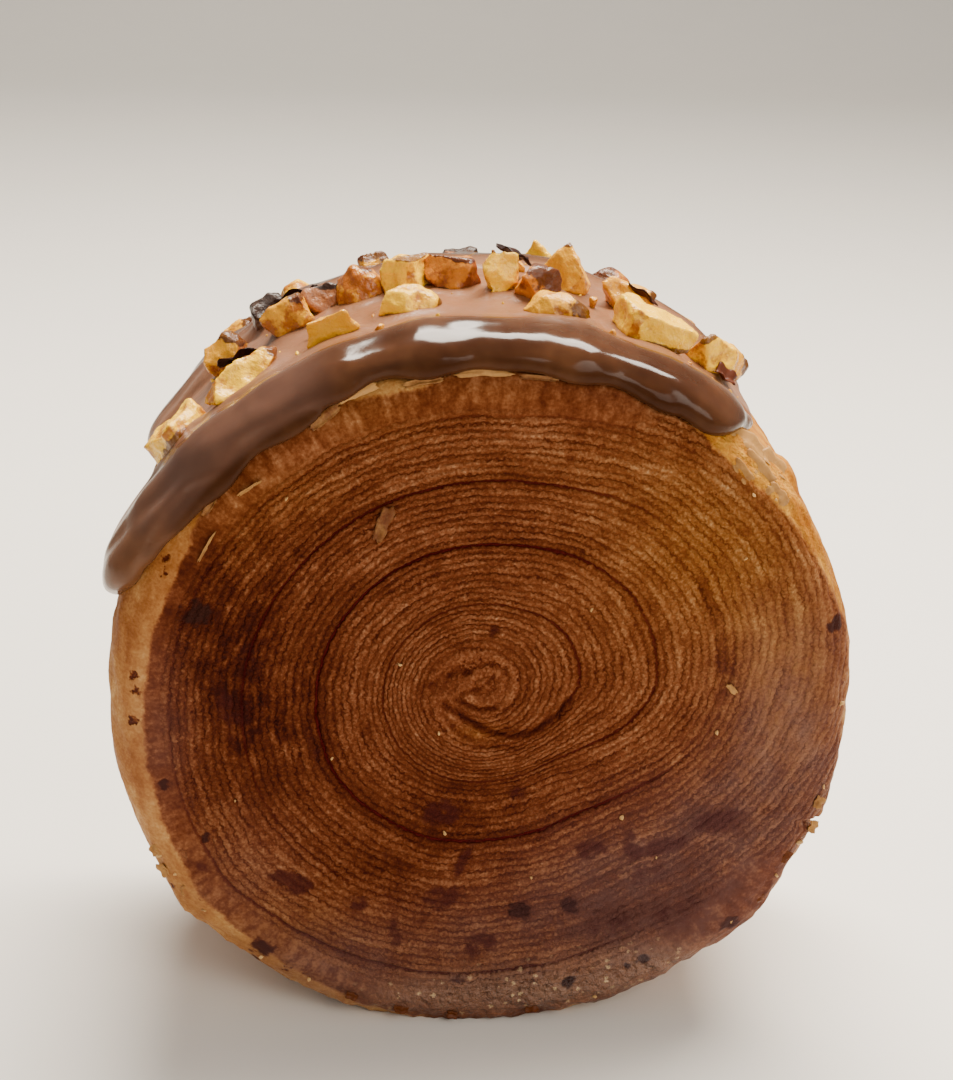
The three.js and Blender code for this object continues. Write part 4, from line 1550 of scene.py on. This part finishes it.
@dataclass
class ChocolateCoat:
    """The chocolate over the upper rim, its flows run together, drawn up round the nuts."""

    flows: dict[str, Flow] = field(default_factory=lambda: dict(FLOWS))
    grid: float = 0.42
    soften: int = 5
    bed_reach: float = 1.5
    relief: dict[str, float] = field(default_factory=lambda: {
        "Ripple": 0.20 * MM, "Swell": 0.9 * MM, "Crease": 0.13 * MM, "Crease Pitch": 4.6,
        "Bed Height": 0.55 * MM, "Fold Depth": 0.6 * MM})

    def relief_tree(self, material: Material) -> Tree:
        """The tree that lays swells, ripples and long creases over the chocolate.

        Args:
            material: The chocolate's material.

        Returns:
            The geometry tree.
        """
        tree, g, given, end = geometry_tree("chocolate_relief", self.relief)
        point = g.out("GeometryNodeInputPosition")
        swell = g.times(g.centred(point, 11 * MM, 1.0), given["Swell"])
        ripple = g.times(g.centred(point, 4 * MM, 1.0), given["Ripple"])
        bend = g.times(g.noise(point, 16 * MM, 1.0), 1.6)
        waves = g.total(g.math("DIVIDE", named(g, "across"), given["Crease Pitch"]), bend)
        crease = g.math("SINE", g.times(waves, 2 * math.pi))
        crease = g.times(crease, named(g, "lip"), given["Crease"])
        bed = g.times(named(g, "bed"), given["Bed Height"])
        fold = g.times(named(g, "fold"), given["Fold Depth"], -1.0)
        height = g.total(swell, ripple, crease, bed, fold)
        dressed(g, displaced(g, given["Geometry"], height), material, end)
        return tree

    def build(self, material: Material) -> Thing:
        """Makes the coat.

        Args:
            material: The chocolate's material.

        Returns:
            The finished piece.
        """
        parts = [flow.mesh(name) for name, flow in self.flows.items()]
        joined = bmesh.new()
        for part in parts:
            joined.from_mesh(part.data)
            bpy.data.objects.remove(part)
        mesh = bpy.data.meshes.new("chocolate_coat")
        joined.to_mesh(mesh)
        joined.free()
        piece = linked("chocolate_coat", mesh)
        self.mark(evened(piece, self.grid, self.soften))
        apply_tree(piece, self.relief_tree(material), self.relief)
        return finished(piece, "chocolate_glaze")

    def mark(self, mesh: Mesh) -> None:
        """Keeps where it lies on the rim, its dull and painted-sheen parts and where nuts lie in
        it.

        Args:
            mesh: The chocolate's mesh.
        """
        around, across = ROLL.unrolled(own_axes(mesh))
        over = np.abs(across)
        store(mesh, "across", across)
        store(mesh, "lip", smooth(11, 14, over) * (1 - smooth(21, 24, over)))
        store(mesh, "under", smooth(20.5, 22.5, over))
        # dull parts, rougher and painted paler as sheen: among the nuts and a little on the left
        # tongue
        tongue = 0.3 * (1 - smooth(-64, -46, around))
        store(mesh, "dull", np.maximum(1 - smooth(12.5, 18.5, over), tongue))
        # painted sheen on the left of the front lip: a paler colour standing in for reflected
        # surroundings
        wash = smooth(-66, -52, around) * (1 - smooth(-30, -21, around))
        store(mesh, "wash", wash * (1 - smooth(22.2, 23.2, over)))
        left = smooth(-74, -62, around) * (1 - smooth(-46, -36, around))
        line = -18.2 - 0.178 * (around + 60.8)
        lower = np.exp(-((across - line) / 1.2) ** 2)
        right = smooth(33, 37, around) * np.exp(-((across + 11.2) / 1.1) ** 2)
        store(mesh, "fold", left * lower + right)
        among = (1 - smooth(13, 17, over)) * smooth(-56, -50, around) * (1 - smooth(36, 42, around))
        store(mesh, "among", among)
        nuts = nut_surfaces()
        reach = 3 * self.bed_reach * MM
        near = [nuts.find_nearest(place, reach)[3] for place in corners(mesh)]
        gap = np.array([reach if d is None else d for d in near]) / MM
        store(mesh, "bed", np.exp(-(gap / self.bed_reach) ** 2))


def nut_surfaces() -> BVHTree:
    """The surfaces of all the larger pieces of nut, to measure distances from."""
    points, faces = [], []
    for node in NUTS:
        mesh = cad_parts[node].data
        first = len(points)
        points.extend(corners(mesh).tolist())
        faces.extend([first + v for v in face.vertices] for face in mesh.polygons)
    return BVHTree.FromPolygons(points, faces)


# The nuts


@dataclass
class NutPiece:
    """One piece of chopped nut, made from the CAD node that it stands for."""

    node: str
    tone: NutTone
    patch: Triple = (1.0, 0.0, 0.0)
    patch_share: float = 0.35
    shade: float = 0.5
    grid: float = 0.24
    soften: int = 1
    broken_angle: float = 2.0
    broken_share: float = 0.07

    def build(self, tree: Tree, relief: dict[str, float]) -> Thing:
        """Makes the piece.

        Args:
            tree: The geometry tree that gives it its grain and material.
            relief: The tree's named sizes.

        Returns:
            The finished piece.
        """
        name = "chopped_" + self.node
        solid = bmesh.new()
        solid.from_mesh(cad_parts[self.node].data)
        bmesh.ops.remove_doubles(solid, verts=solid.verts, dist=WELD)
        solid.faces.index_update()
        broken = {face.index for face in self.broken_faces(solid)}
        surface = BVHTree.FromBMesh(solid)
        mesh = bpy.data.meshes.new(name)
        solid.to_mesh(mesh)
        solid.free()
        piece = linked(name, mesh)
        mesh = evened(piece, self.grid, self.soften)
        nearest = [surface.find_nearest(place)[2] for place in corners(mesh)]
        store(mesh, "outer", np.array([0.0 if face in broken else 1.0 for face in nearest]))
        store(mesh, "shade", self.shade)
        store(mesh, "patch", self.patch_field(mesh))
        apply_tree(piece, tree, relief)
        return finished(piece, self.node)

    def broken_faces(self, solid: bmesh.types.BMesh) -> set:
        """Finds the faces that lie in wide flat breaks.

        Args:
            solid: The nut's mesh.

        Returns:
            The faces.
        """
        limit = math.radians(self.broken_angle)
        total = sum(face.calc_area() for face in solid.faces)
        left, broken = set(solid.faces), set()
        while left:
            seed = left.pop()
            flat, queue = {seed}, [seed]
            while queue:
                for edge in queue.pop().edges:
                    for face in edge.link_faces:
                        if face in left and face.normal.angle(seed.normal, 0) < limit:
                            left.discard(face)
                            flat.add(face)
                            queue.append(face)
            if sum(face.calc_area() for face in flat) > self.broken_share * total:
                broken |= flat
        return broken

    def patch_field(self, mesh: Mesh) -> np.ndarray:
        """How far each corner lies towards the darker end, from 0 to 1."""
        along = corners(mesh) @ np.array(self.patch)
        low, high = along.min(), along.max()
        return smooth(1 - 2 * self.patch_share, 1.0, (along - low) / max(high - low, 1e-9))


def nut_tree(material: Material, relief: dict[str, float]) -> Tree:
    """The tree that roughens a piece of nut.

    Args:
        material: The nut's material.
        relief: The tree's named sizes.

    Returns:
        The geometry tree.
    """
    tree, g, given, end = geometry_tree("nut_relief_" + material.name, relief)
    point = g.out("GeometryNodeInputPosition")
    wander = g.node("ShaderNodeTexNoise", {"Vector": point, "Scale": 1 / (2 * MM)})
    moved = g.vector("ADD", point, g.scaled(wander.outputs["Color"], 1.6 * MM))
    cells = g.node("ShaderNodeTexVoronoi", {"Vector": moved, "Scale": 1 / (2.9 * MM)})
    peak = g.minus(cells.outputs["Distance"], 0.45)
    hollow = g.times(peak, given["Break Depth"])
    broad = g.times(g.centred(point, 4.5 * MM, 1.0), given["Bulge Height"])
    lumps = g.times(g.centred(point, 2.2 * MM), given["Lump Height"])
    grain = g.times(g.centred(point, 0.8 * MM), given["Grain Height"])
    values = {"Geometry": given["Geometry"], "Name": "peak", "Value": peak}
    kept = g.out("GeometryNodeStoreNamedAttribute", values, data_type="FLOAT", domain="POINT")
    dressed(g, displaced(g, kept, g.total(hollow, broad, lumps, grain)), material, end)
    return tree


# Tone of each nut, the way towards its darker end, how much of it is dark and how toasted it is
NUTS = {
    "nut_01": (NutTone.CREAM, (1, -1, -1), 0.2, 0.55),
    "nut_02": (NutTone.GOLDEN, (0.3, 0, 1), 0.14, 0.2),
    "nut_03": (NutTone.CREAM, (0.6, 0, 1), 0.06, 0.4),
    "nut_04": (NutTone.GOLDEN, (0, 0, 1), 0.15, 0.8),
    "nut_05": (NutTone.SKIN, (0, 0, 1), 0.7, 0.9),
    "nut_06": (NutTone.GOLDEN, (-1, 0, 0), 0.02, -0.3),
    "nut_07": (NutTone.SKIN, (0, 0, 1), 0.2, 0.1),
    "nut_08": (NutTone.GOLDEN, (0.3, 0, 1), 0.05, 0.6),
    "nut_09": (NutTone.CREAM, (1, 0, 0), 0.06, -0.7),
    "nut_10": (NutTone.CREAM, (0, 0, 1), 0.04, 0.1),
    "nut_11": (NutTone.HAZEL, (0, -0.3, 1), 0.1, 0.5),
    "nut_12": (NutTone.CREAM, (0, 0, 1), 0.05, -0.2),
    "nut_13": (NutTone.HAZEL, (0.8, 0, 0.6), 0.5, 0.0),
    "nut_14": (NutTone.GOLDEN, (-0.4, 0, 1), 0.05, -0.5),
    "nut_15": (NutTone.GOLDEN, (1, 0, 0), 0.3, -0.8),
    "nut_16": (NutTone.GOLDEN, (1, 0, 0.3), 0.12, 0.2),
    "nut_17": (NutTone.CREAM, (0, -1, -1), 0.06, -0.1),
    "nut_18": (NutTone.CREAM, (-0.3, 0, 1), 0.08, 0.1),
    "nut_19": (NutTone.GOLDEN, (1, 0, 0), 0.2, 0.4),
    "nut_20": (NutTone.GOLDEN, (1, 0, 0), 0.3, 0.4),
    "nut_21": (NutTone.CREAM, (0, 1, 0), 0.15, 0.1),
    "nut_22": (NutTone.GOLDEN, (0, 0, 1), 0.3, 0.4),
    "nut_23": (NutTone.SKIN, (0, 1, 1), 0.4, 0.6),
    "nut_24": (NutTone.CREAM, (1, 0, 0), 0.2, 0.1),
    "nut_25": (NutTone.GOLDEN, (-1, 0, 1), 0.3, 0.5),
    "nut_26": (NutTone.CREAM, (0, 1, 0), 0.15, 0.2),
}


@dataclass
class ChoppedNuts:
    """All the larger pieces of nut."""

    relief: dict[str, float] = field(default_factory=lambda: {
        "Break Depth": 0.85 * MM, "Bulge Height": 1.1 * MM, "Lump Height": 0.35 * MM,
        "Grain Height": 0.18 * MM})

    def build(self, materials: dict[NutTone, Material]) -> list[Thing]:
        """Makes the pieces.

        Args:
            materials: The material of each tone.

        Returns:
            The finished pieces.
        """
        trees = {tone: nut_tree(material, self.relief) for tone, material in materials.items()}
        pieces = []
        for node, (tone, patch, share, shade) in NUTS.items():
            pieces.append(NutPiece(node, tone, patch, share, shade).build(trees[tone], self.relief))
        return pieces


# Small bits of nut that stick in the chocolate: around, across and size
BITS = (
    (-27.8, 15.5, 3.6), (-1, 4, 2.6), (6, 11.5, 3.2), (27.5, 3.5, 3.4), (29.5, 8, 3.2),
    (-16, -13.5, 2.4), (-43.5, -5, 2.6), (17, -14.5, 2.2), (29, -13, 2.6), (-26, -4, 2.6),
    (-37.5, -3, 2.8), (16, 0, 2.8), (36, 1.5, 2.6), (-50, 3, 2.8), (-3, 12.5, 3), (-18, 14, 3),
)


def broken_chip(name: str, seed: int, points: int = 11) -> Thing:
    """A small angular chip, about 1 metre across, to be scaled where it is used.

    Args:
        name: The object's name.
        seed: Seed of its form.
        points: Corners that it starts from.

    Returns:
        The object, not yet in the scene.
    """
    draw = np.random.default_rng(seed)
    ways = draw.normal(size=(points, 3))
    ways = ways / np.linalg.norm(ways, axis=1, keepdims=True)
    spread = ways * draw.uniform(0.36, 0.5, (points, 1))
    form = bmesh.new()
    for place in spread * [1.0, 0.75, 0.6]:
        form.verts.new(place)
    hull = bmesh.ops.convex_hull(form, input=form.verts)
    inner = [part for part in hull["geom_interior"] if isinstance(part, bmesh.types.BMVert)]
    bmesh.ops.delete(form, geom=inner, context="VERTS")
    bmesh.ops.bevel(form, geom=list(form.edges), offset=0.035, segments=1, affect="EDGES")
    bmesh.ops.triangulate(form, faces=form.faces)
    bmesh.ops.recalc_face_normals(form, faces=form.faces)
    mesh = bpy.data.meshes.new(name)
    form.to_mesh(mesh)
    form.free()
    return bpy.data.objects.new(name, mesh)


def scattered_tree(name: str, material: Material, chips: list[Thing],
                   inputs: dict[str, float], spread: bool) -> Tree:
    """The tree that lays chips on a surface, or sets them on given points.

    Args:
        name: The tree's name.
        material: The chips' material.
        chips: The chips to choose from.
        inputs: The tree's named sizes: Seed, and with spread Smallest, Largest, Density and Gap.
        spread: Whether the places are drawn on faces, more where the attribute "among" is higher.

    Returns:
        The geometry tree.
    """
    tree, g, given, end = geometry_tree(name, inputs)
    gathered = g.node("GeometryNodeJoinGeometry")
    for chip in chips:
        shown = g.node("GeometryNodeObjectInfo", {"Object": chip, "As Instance": True})
        g.tree.links.new(shown.outputs["Geometry"], gathered.inputs[0])
    places = given["Geometry"]
    if spread:
        values = {"Mesh": places, "Distance Min": given["Gap"], "Density Max": given["Density"],
                  "Density Factor": named(g, "among"), "Seed": given["Seed"]}
        places = g.out("GeometryNodeDistributePointsOnFaces", values, distribute_method="POISSON")
        values = {"Min": given["Smallest"], "Max": given["Largest"], "Seed": given["Seed"]}
        size = g.node("FunctionNodeRandomValue", values)
        scale = [out for out in size.outputs if out.enabled][0]
    else:
        scale = named(g, "size")
    spin = g.node("FunctionNodeRandomValue", {"Seed": given["Seed"]}, data_type="FLOAT_VECTOR")
    spin.inputs[0].default_value = (-3.0, -3.0, -3.0)
    spin.inputs[1].default_value = (3.0, 3.0, 3.0)
    values = {"Points": places, "Instance": gathered.outputs[0], "Pick Instance": True,
              "Rotation": spin.outputs[0], "Scale": scale}
    laid = g.out("GeometryNodeInstanceOnPoints", values)
    dressed(g, laid, material, end)
    return tree


@dataclass
class PlacedChips:
    """Small broken chips at given places, joined into one piece."""

    name: str
    places: tuple[Triple, ...]
    base: float
    node: str
    slot: str
    chips: int = 5
    outer: float = 0.3
    shade: float = 0.3
    inputs: dict[str, float] = field(default_factory=lambda: {"Seed": 5})

    def build(self, material: Material) -> Thing:
        """Makes the chips.

        Args:
            material: The chips' material.

        Returns:
            The finished piece.
        """
        around, across, size = np.array(self.places).T
        point, out, _ = ROLL.on_rim(around, across)
        piece = new_mesh(self.name, point + out * (self.base + 0.1 * size)[:, None], [])
        store(piece.data, "size", size * MM)
        chips = [broken_chip(f"{self.name}_{k}", 20 + k) for k in range(self.chips)]
        tree = scattered_tree(self.name, material, chips, self.inputs, spread=False)
        apply_tree(piece, tree, self.inputs)
        finished(piece, self.node)
        store(piece.data, "outer", self.outer)
        store(piece.data, "shade", self.shade)
        return piece


@dataclass
class NutCrumbs:
    """Crumbs of nut strewn over the chocolate between the larger pieces."""

    chips: int = 5
    inputs: dict[str, float] = field(default_factory=lambda: {
        "Seed": 11, "Smallest": 0.5 * MM, "Largest": 1.5 * MM, "Gap": 1.6 * MM, "Density": 26000.0})

    def build(self, coat: Thing, material: Material) -> Thing:
        """Makes the crumbs.

        Args:
            coat: The chocolate that they lie in.
            material: The crumbs' material.

        Returns:
            The finished piece.
        """
        piece = linked("nut_crumbs", coat.data.copy())
        chips = [broken_chip(f"crumb_{k}", 40 + k) for k in range(self.chips)]
        tree = scattered_tree("nut_crumbs", material, chips, self.inputs, spread=True)
        apply_tree(piece, tree, self.inputs)
        finished(piece, "chocolate_glaze")
        draw = np.random.default_rng(3)
        store(piece.data, "shade", draw.uniform(0.0, 1.0, len(piece.data.vertices)))
        return piece


# Thin things that lie loose or stand off the surface


@dataclass(frozen=True)
class Leaf:
    """A thin ragged flake on the rim or a face.

    Its base is its height over the surface, the lift is how much further its free edge stands
    off, and the spin is its turn in degrees.
    """

    around: float
    across: float
    long: float
    wide: float
    lift: float
    spin: float = 0.0
    shade: float = 0.5
    base: float = 0.1
    thick: float = 0.26

    def sheet(self, seed: int, rings: int = 7, sectors: int = 30) -> tuple[np.ndarray, list]:
        """Lays the flake out as a closed thin form.

        Args:
            seed: Seed of its ragged outline.
            rings: Rings of corners from its middle out.
            sectors: Corners in a ring.

        Returns:
            The corners in the roll's own axes, and the faces.
        """
        draw = np.random.default_rng(seed)
        turn = np.arange(sectors) / sectors * 2 * math.pi
        phases = draw.uniform(0, 2 * math.pi, 4)
        waves = zip((0.07, 0.07, 0.07, 0.06), (2, 3, 7, 11), phases)
        edge = (np.cos(turn) ** 6 + np.sin(turn) ** 6) ** (-1 / 6)
        edge = edge + sum(size * np.sin(count * turn + phase) for size, count, phase in waves)
        share = np.linspace(0, 1, rings + 1)[1:]
        u = np.outer(share, np.cos(turn) * edge).ravel()
        v = np.outer(share, np.sin(turn) * edge).ravel()
        u, v = np.insert(u, 0, 0.0), np.insert(v, 0, 0.0)
        out_share = np.insert(np.repeat(share, sectors), 0, 0.0)
        ruffle = 0.18 * self.lift * (np.sin(5 * u + phases[0]) + np.sin(4 * v + phases[1]))
        rise = self.base + self.lift * smooth(-0.7, 1.0, v) ** 1.5 + ruffle
        cos, sin = cos_sin(self.spin)
        along = (u * self.long * cos - v * self.wide * sin) / 2
        over = (u * self.long * sin + v * self.wide * cos) / 2
        middle = ROLL.on_rim(self.around, self.across)[0]
        around = self.around + np.degrees(along / math.hypot(middle[0], middle[2]))
        side = 1.0 if self.across > 0 else -1.0
        point, out, _ = ROLL.on_rim(around, self.across - side * over)
        half = self.thick / 2 * np.sqrt(np.maximum(1 - 0.85 * out_share ** 2, 0))
        top, bottom = point + out * (rise + half)[:, None], point + out * (rise - half)[:, None]
        return np.concatenate([top, bottom]), self.closed(rings, sectors)

    @staticmethod
    def closed(rings: int, sectors: int) -> list[tuple[int, ...]]:
        """The faces of two discs of corners, top then bottom, joined at their edges."""
        lower = 1 + rings * sectors
        faces = []
        for k in range(sectors):
            n = (k + 1) % sectors
            faces += [(0, 1 + k, 1 + n), (lower, lower + 1 + n, lower + 1 + k)]
            for r in range(rings - 1):
                a, b = 1 + r * sectors, 1 + (r + 1) * sectors
                faces.append((a + k, b + k, b + n, a + n))
                faces.append((lower + a + n, lower + b + n, lower + b + k, lower + a + k))
            a = 1 + (rings - 1) * sectors
            faces.append((a + k, lower + a + k, lower + a + n, a + n))
        return faces


def on_face(x: float, z: float) -> tuple[float, float]:
    """Where a place on the front face lies: degrees from the top and millimetres over the rim."""
    beyond = ROLL.face_radius - math.hypot(x, z)
    return math.degrees(math.atan2(x, z)), -(ROLL.half_rim + ROLL.shoulder * math.pi / 2 + beyond)


# Flakes at the edges of the faces, round the blister, under the lip and on the front face
PASTRY_FLAKES = (
    Leaf(106, -22.5, 1.8, 0.9, 0.7, -10, 0.5), Leaf(111, -21, 1.9, 1.0, 0.7, 5, 0.3),
    Leaf(117, -23, 1.8, 0.9, 0.5, 0, 1.2), Leaf(126, -22, 1.9, 0.9, 0.6, 12, 1.2),
    Leaf(-115, -21.8, 2.0, 1.0, 0.5, -6, 0.4), Leaf(-119, -21, 2.2, 1.1, 0.6, 4, 0.3),
    Leaf(-123.5, -22.4, 2.0, 1.0, 0.5, -12, 0.5), Leaf(104, 22, 3.6, 1.8, 0.9, 6, 0.8),
    Leaf(-104, 22.5, 3.8, 1.8, 0.9, -5, 0.8), Leaf(-128, 22, 3.4, 1.7, 0.8, 8, 0.8),
    Leaf(66, 21.5, 4, 2, 0.8, 0, 0.6), Leaf(41.2, -19.2, 6.0, 2.4, 0.8, 8, 0.0),
    Leaf(44.6, -21.4, 5.0, 2.0, 0.7, -6, 0.15), Leaf(47.4, -18.0, 5.5, 2.6, 0.9, 10, 0.0),
    Leaf(49.6, -22.2, 4.0, 1.8, 0.6, 4, 0.3), Leaf(42.4, -23.4, 3.6, 1.4, 0.5, -10, 0.4),
    Leaf(-21.3, -22.4, 5.2, 1.3, 0.9, 3, 0.05, 0.3, 0.2),
    Leaf(-27.2, -23.7, 4.6, 1.2, 0.5, 9, 0.65, 0.1, 0.2),
    Leaf(-11, -23.3, 4.6, 0.8, 0.6, 2, 0.55, 0.1, 0.2),
    Leaf(-50.2, -24.0, 2.6, 0.8, 0.5, 14, 0.6, 0.1, 0.2), Leaf(-167, -24.2, 1.9, 0.9, 0.5, 5, 1.2),
    Leaf(-176, -24.4, 1.6, 0.8, 0.5, -8, 1.2), Leaf(170, -24.6, 1.8, 0.9, 0.5, 6, 1.2),
    Leaf(-158, -24.3, 1.8, 0.8, 0.4, 0, 1.2), Leaf(-2.0, -22.9, 6.5, 0.9, 0.5, 0, 0.25, 0.1, 0.2),
    Leaf(6.5, -23.2, 4.5, 0.6, 0.4, 2, 0.65, 0.1, 0.2),
    Leaf(-43.5, -25.9, 3.4, 0.45, 0.5, -8, 0.3, 0.12, 0.14),
    Leaf(-56, -26.8, 4.6, 0.4, 0.4, 6, 0.35, 0.12, 0.14),
    Leaf(-26.6, -39.5, 1.7, 4.8, 0.4, -44, 0.75, 0.2, 0.24),
    Leaf(*on_face(32.5, 4.5), 1.7, 0.8, 0.2, 30, 0.3, 0.25),
)

# Burnt skins of nuts, thin and dark, among the larger pieces
NUT_SKINS = (
    Leaf(-38, 1.5, 5.5, 3.0, 2.0, 30, 0.2, 2.6, 0.3),
    Leaf(-36, -3.5, 4.4, 2.2, 1.2, -20, 0.9, 2.4, 0.3),
    Leaf(-27.5, 9.5, 5.5, 2.6, 2.6, 10, 0.0, 3.4, 0.3),
    Leaf(4.5, 7.0, 4.6, 3.4, 1.6, 60, 0.1, 5.0, 0.5),
    Leaf(22.5, 2.0, 4.2, 3.0, 0.9, 40, 0.3, 5.2, 0.5),
    Leaf(36.5, -7.5, 3.2, 2.2, 1.0, 10, 0.7, 3.0, 0.3),
    Leaf(-8, 8.5, 4.0, 2.4, 1.4, 90, 0.9, 2.8, 0.3),
)

# Loose crumbs of crust: x, z and size on the front face, and around, across and size on its edges
FACE_CRUMBS = (
    (13.3, 15.8, 0.9), (-5, -17, 1.0), (-6.1, -2, 0.8), (18.9, -14.8, 1.1), (-11.4, 8, 0.9),
    (-20.2, -5.7, 0.8), (33, 23, 0.8), (31, -2, 1.0), (-26, 31, 0.9), (7, -24, 0.7), (24, -21, 0.7),
    (-33, -12, 0.6),
)
CRUMBS = (
    *((*on_face(x, z), size) for x, z, size in FACE_CRUMBS),
    (88, -22.4, 1.2), (103, -22.6, 1.0), (114, -22.0, 1.5), (121, -22.2, 1.0), (132, -22.8, 0.9),
    (-116, -21.8, 1.3), (-120, -22.6, 1.0), (-128, -22.8, 1.1), (-141, -23.0, 1.0),
    (50, -22.6, 1.0), (46.5, -24.4, 0.9), (-150, -24.0, 1.0), (159, -23.8, 1.0), (96, 22.4, 1.2),
    (-96, 22.6, 1.3), (-140, 22.6, 1.1),
)


@dataclass
class ThinLeaves:
    """Thin ragged flakes joined into one piece."""

    name: str
    leaves: tuple[Leaf, ...]
    node: str
    slot: str
    relief: dict[str, float] = field(default_factory=lambda: {"Crinkle": 0.25 * MM})

    def tree(self, material: Material) -> Tree:
        """The tree that crinkles the flakes.

        Args:
            material: The flakes' material.

        Returns:
            The geometry tree.
        """
        tree, g, given, end = geometry_tree(self.name + "_crinkle", self.relief)
        point = g.out("GeometryNodeInputPosition")
        offset = g.scaled(g.wander(point, 1.6 * MM), given["Crinkle"])
        moved = g.out("GeometryNodeSetPosition", {"Geometry": given["Geometry"], "Offset": offset})
        dressed(g, moved, material, end)
        return tree

    def build(self, material: Material) -> Thing:
        """Makes the flakes.

        Args:
            material: The flakes' material.

        Returns:
            The finished piece.
        """
        points, faces, shades = [], [], []
        for seed, leaf in enumerate(self.leaves):
            first = sum(len(part) for part in points)
            corner, made = leaf.sheet(seed)
            points.append(corner)
            faces += [tuple(first + i for i in face) for face in made]
            shades.append(np.full(len(corner), leaf.shade))
        piece = new_mesh(self.name, np.concatenate(points), faces)
        store(piece.data, "shade", np.concatenate(shades))
        apply_tree(piece, self.tree(material), self.relief)
        return finished(piece, self.node)


# The studio


@dataclass
class Studio:
    """A plain pale floor, soft lights and the camera at the photograph's angle."""

    camera_at: Triple = (-0.0203, -0.2728, 0.1716)
    right: Triple = (0.9977, -0.0620, 0.0290)
    up: Triple = (-0.0042, 0.3674, 0.9301)
    back: Triple = (-0.0683, -0.9280, 0.3663)
    lens: float = 46.9
    sensor: float = 24.0

    def place_camera(self) -> None:
        """Places the camera."""
        data = bpy.data.cameras.new("camera")
        data.sensor_fit = "VERTICAL"
        data.sensor_height = self.sensor
        data.lens = self.lens
        data.clip_start = 0.01
        camera = linked("camera", data)
        turned = Matrix((self.right, self.up, self.back)).transposed().to_4x4()
        camera.matrix_world = Matrix.Translation(self.camera_at) @ turned
        bpy.context.scene.camera = camera

    def light(self, name: str, at: Triple, size: tuple[float, float], power: float,
              colour: Triple) -> None:
        """Adds one soft light that looks at the roll.

        Args:
            name: The light's name.
            at: Its place in metres.
            size: Its width and height in metres.
            power: Its power in watts.
            colour: Its colour.
        """
        data = bpy.data.lights.new(name, "AREA")
        data.shape = "RECTANGLE"
        data.size, data.size_y = size
        data.energy = power
        data.color = colour
        lamp = linked(name, data)
        lamp.location = at
        aim = Vector((0, 0, 0.05)) - Vector(at)
        lamp.rotation_euler = aim.to_track_quat("-Z", "Y").to_euler()

    def lay_floor(self, material: Material) -> None:
        """Lays the floor, which curves up behind into a backdrop."""
        reach, rear, bend = 1.6, 0.75, 0.35
        turn = np.linspace(0, math.pi / 2, 17)
        depth = np.concatenate([[-reach], rear + bend * np.sin(turn), [rear + bend]])
        height = np.concatenate([[0.0], bend * (1 - np.cos(turn)), [reach]])
        points = [(x, y, z) for y, z in zip(depth, height) for x in (-reach, reach)]
        faces = [(2 * k, 2 * k + 1, 2 * k + 3, 2 * k + 2) for k in range(len(depth) - 1)]
        mesh = bpy.data.meshes.new("floor")
        mesh.from_pydata(points, [], faces)
        mesh.shade_smooth()
        mesh.materials.append(material)
        floor = linked("floor", mesh)

    def light_all(self) -> None:
        """Adds the lights and the pale surroundings."""
        world = bpy.data.worlds.new("studio")
        world.use_nodes = True
        background = world.node_tree.nodes["Background"]
        background.inputs[0].default_value = (1.0, 0.96, 0.90, 1.0)
        background.inputs[1].default_value = 0.45
        bpy.context.scene.world = world
        self.light("top_light", (0.085, 0.17, 0.54), (0.52, 0.18), 13.5, (1.0, 0.91, 0.78))
        self.light("front_light", (0.34, -0.60, 0.48), (0.40, 0.40), 3.8, (1.0, 0.91, 0.79))


def main() -> None:
    """Builds the croissant piece by piece, then the studio."""
    logging.basicConfig(level=logging.INFO, format="%(name)s: %(message)s")
    shared = SharedGroups()
    nuts = {tone: finish.material(shared) for tone, finish in NUT_FINISHES.items()}
    LaminatedRoll().build(CrustFinish().material(shared))
    coat = ChocolateCoat().build(ChocolateFinish().material(shared))
    ChoppedNuts().build(nuts)
    PlacedChips("nut_bits", BITS, 2.2, "chocolate_glaze", "nut_golden").build(nuts[NutTone.GOLDEN])
    NutCrumbs().build(coat, nuts[NutTone.CREAM])
    flake = PASTRY_LEAF.material(shared)
    ThinLeaves("pastry_flakes", PASTRY_FLAKES, "croissant_roll", "crust").build(flake)
    PlacedChips("pastry_crumbs", CRUMBS, 0.1, "croissant_roll", "crust", shade=-0.6).build(flake)
    skin = NUT_SKIN_LEAF.material(shared)
    ThinLeaves("nut_skins", NUT_SKINS, "chocolate_glaze", "nut_skin").build(skin)
    studio = Studio()
    studio.place_camera()
    studio.lay_floor(FloorFinish().material(shared))
    studio.light_all()


if __name__ == "__main__":
    main()
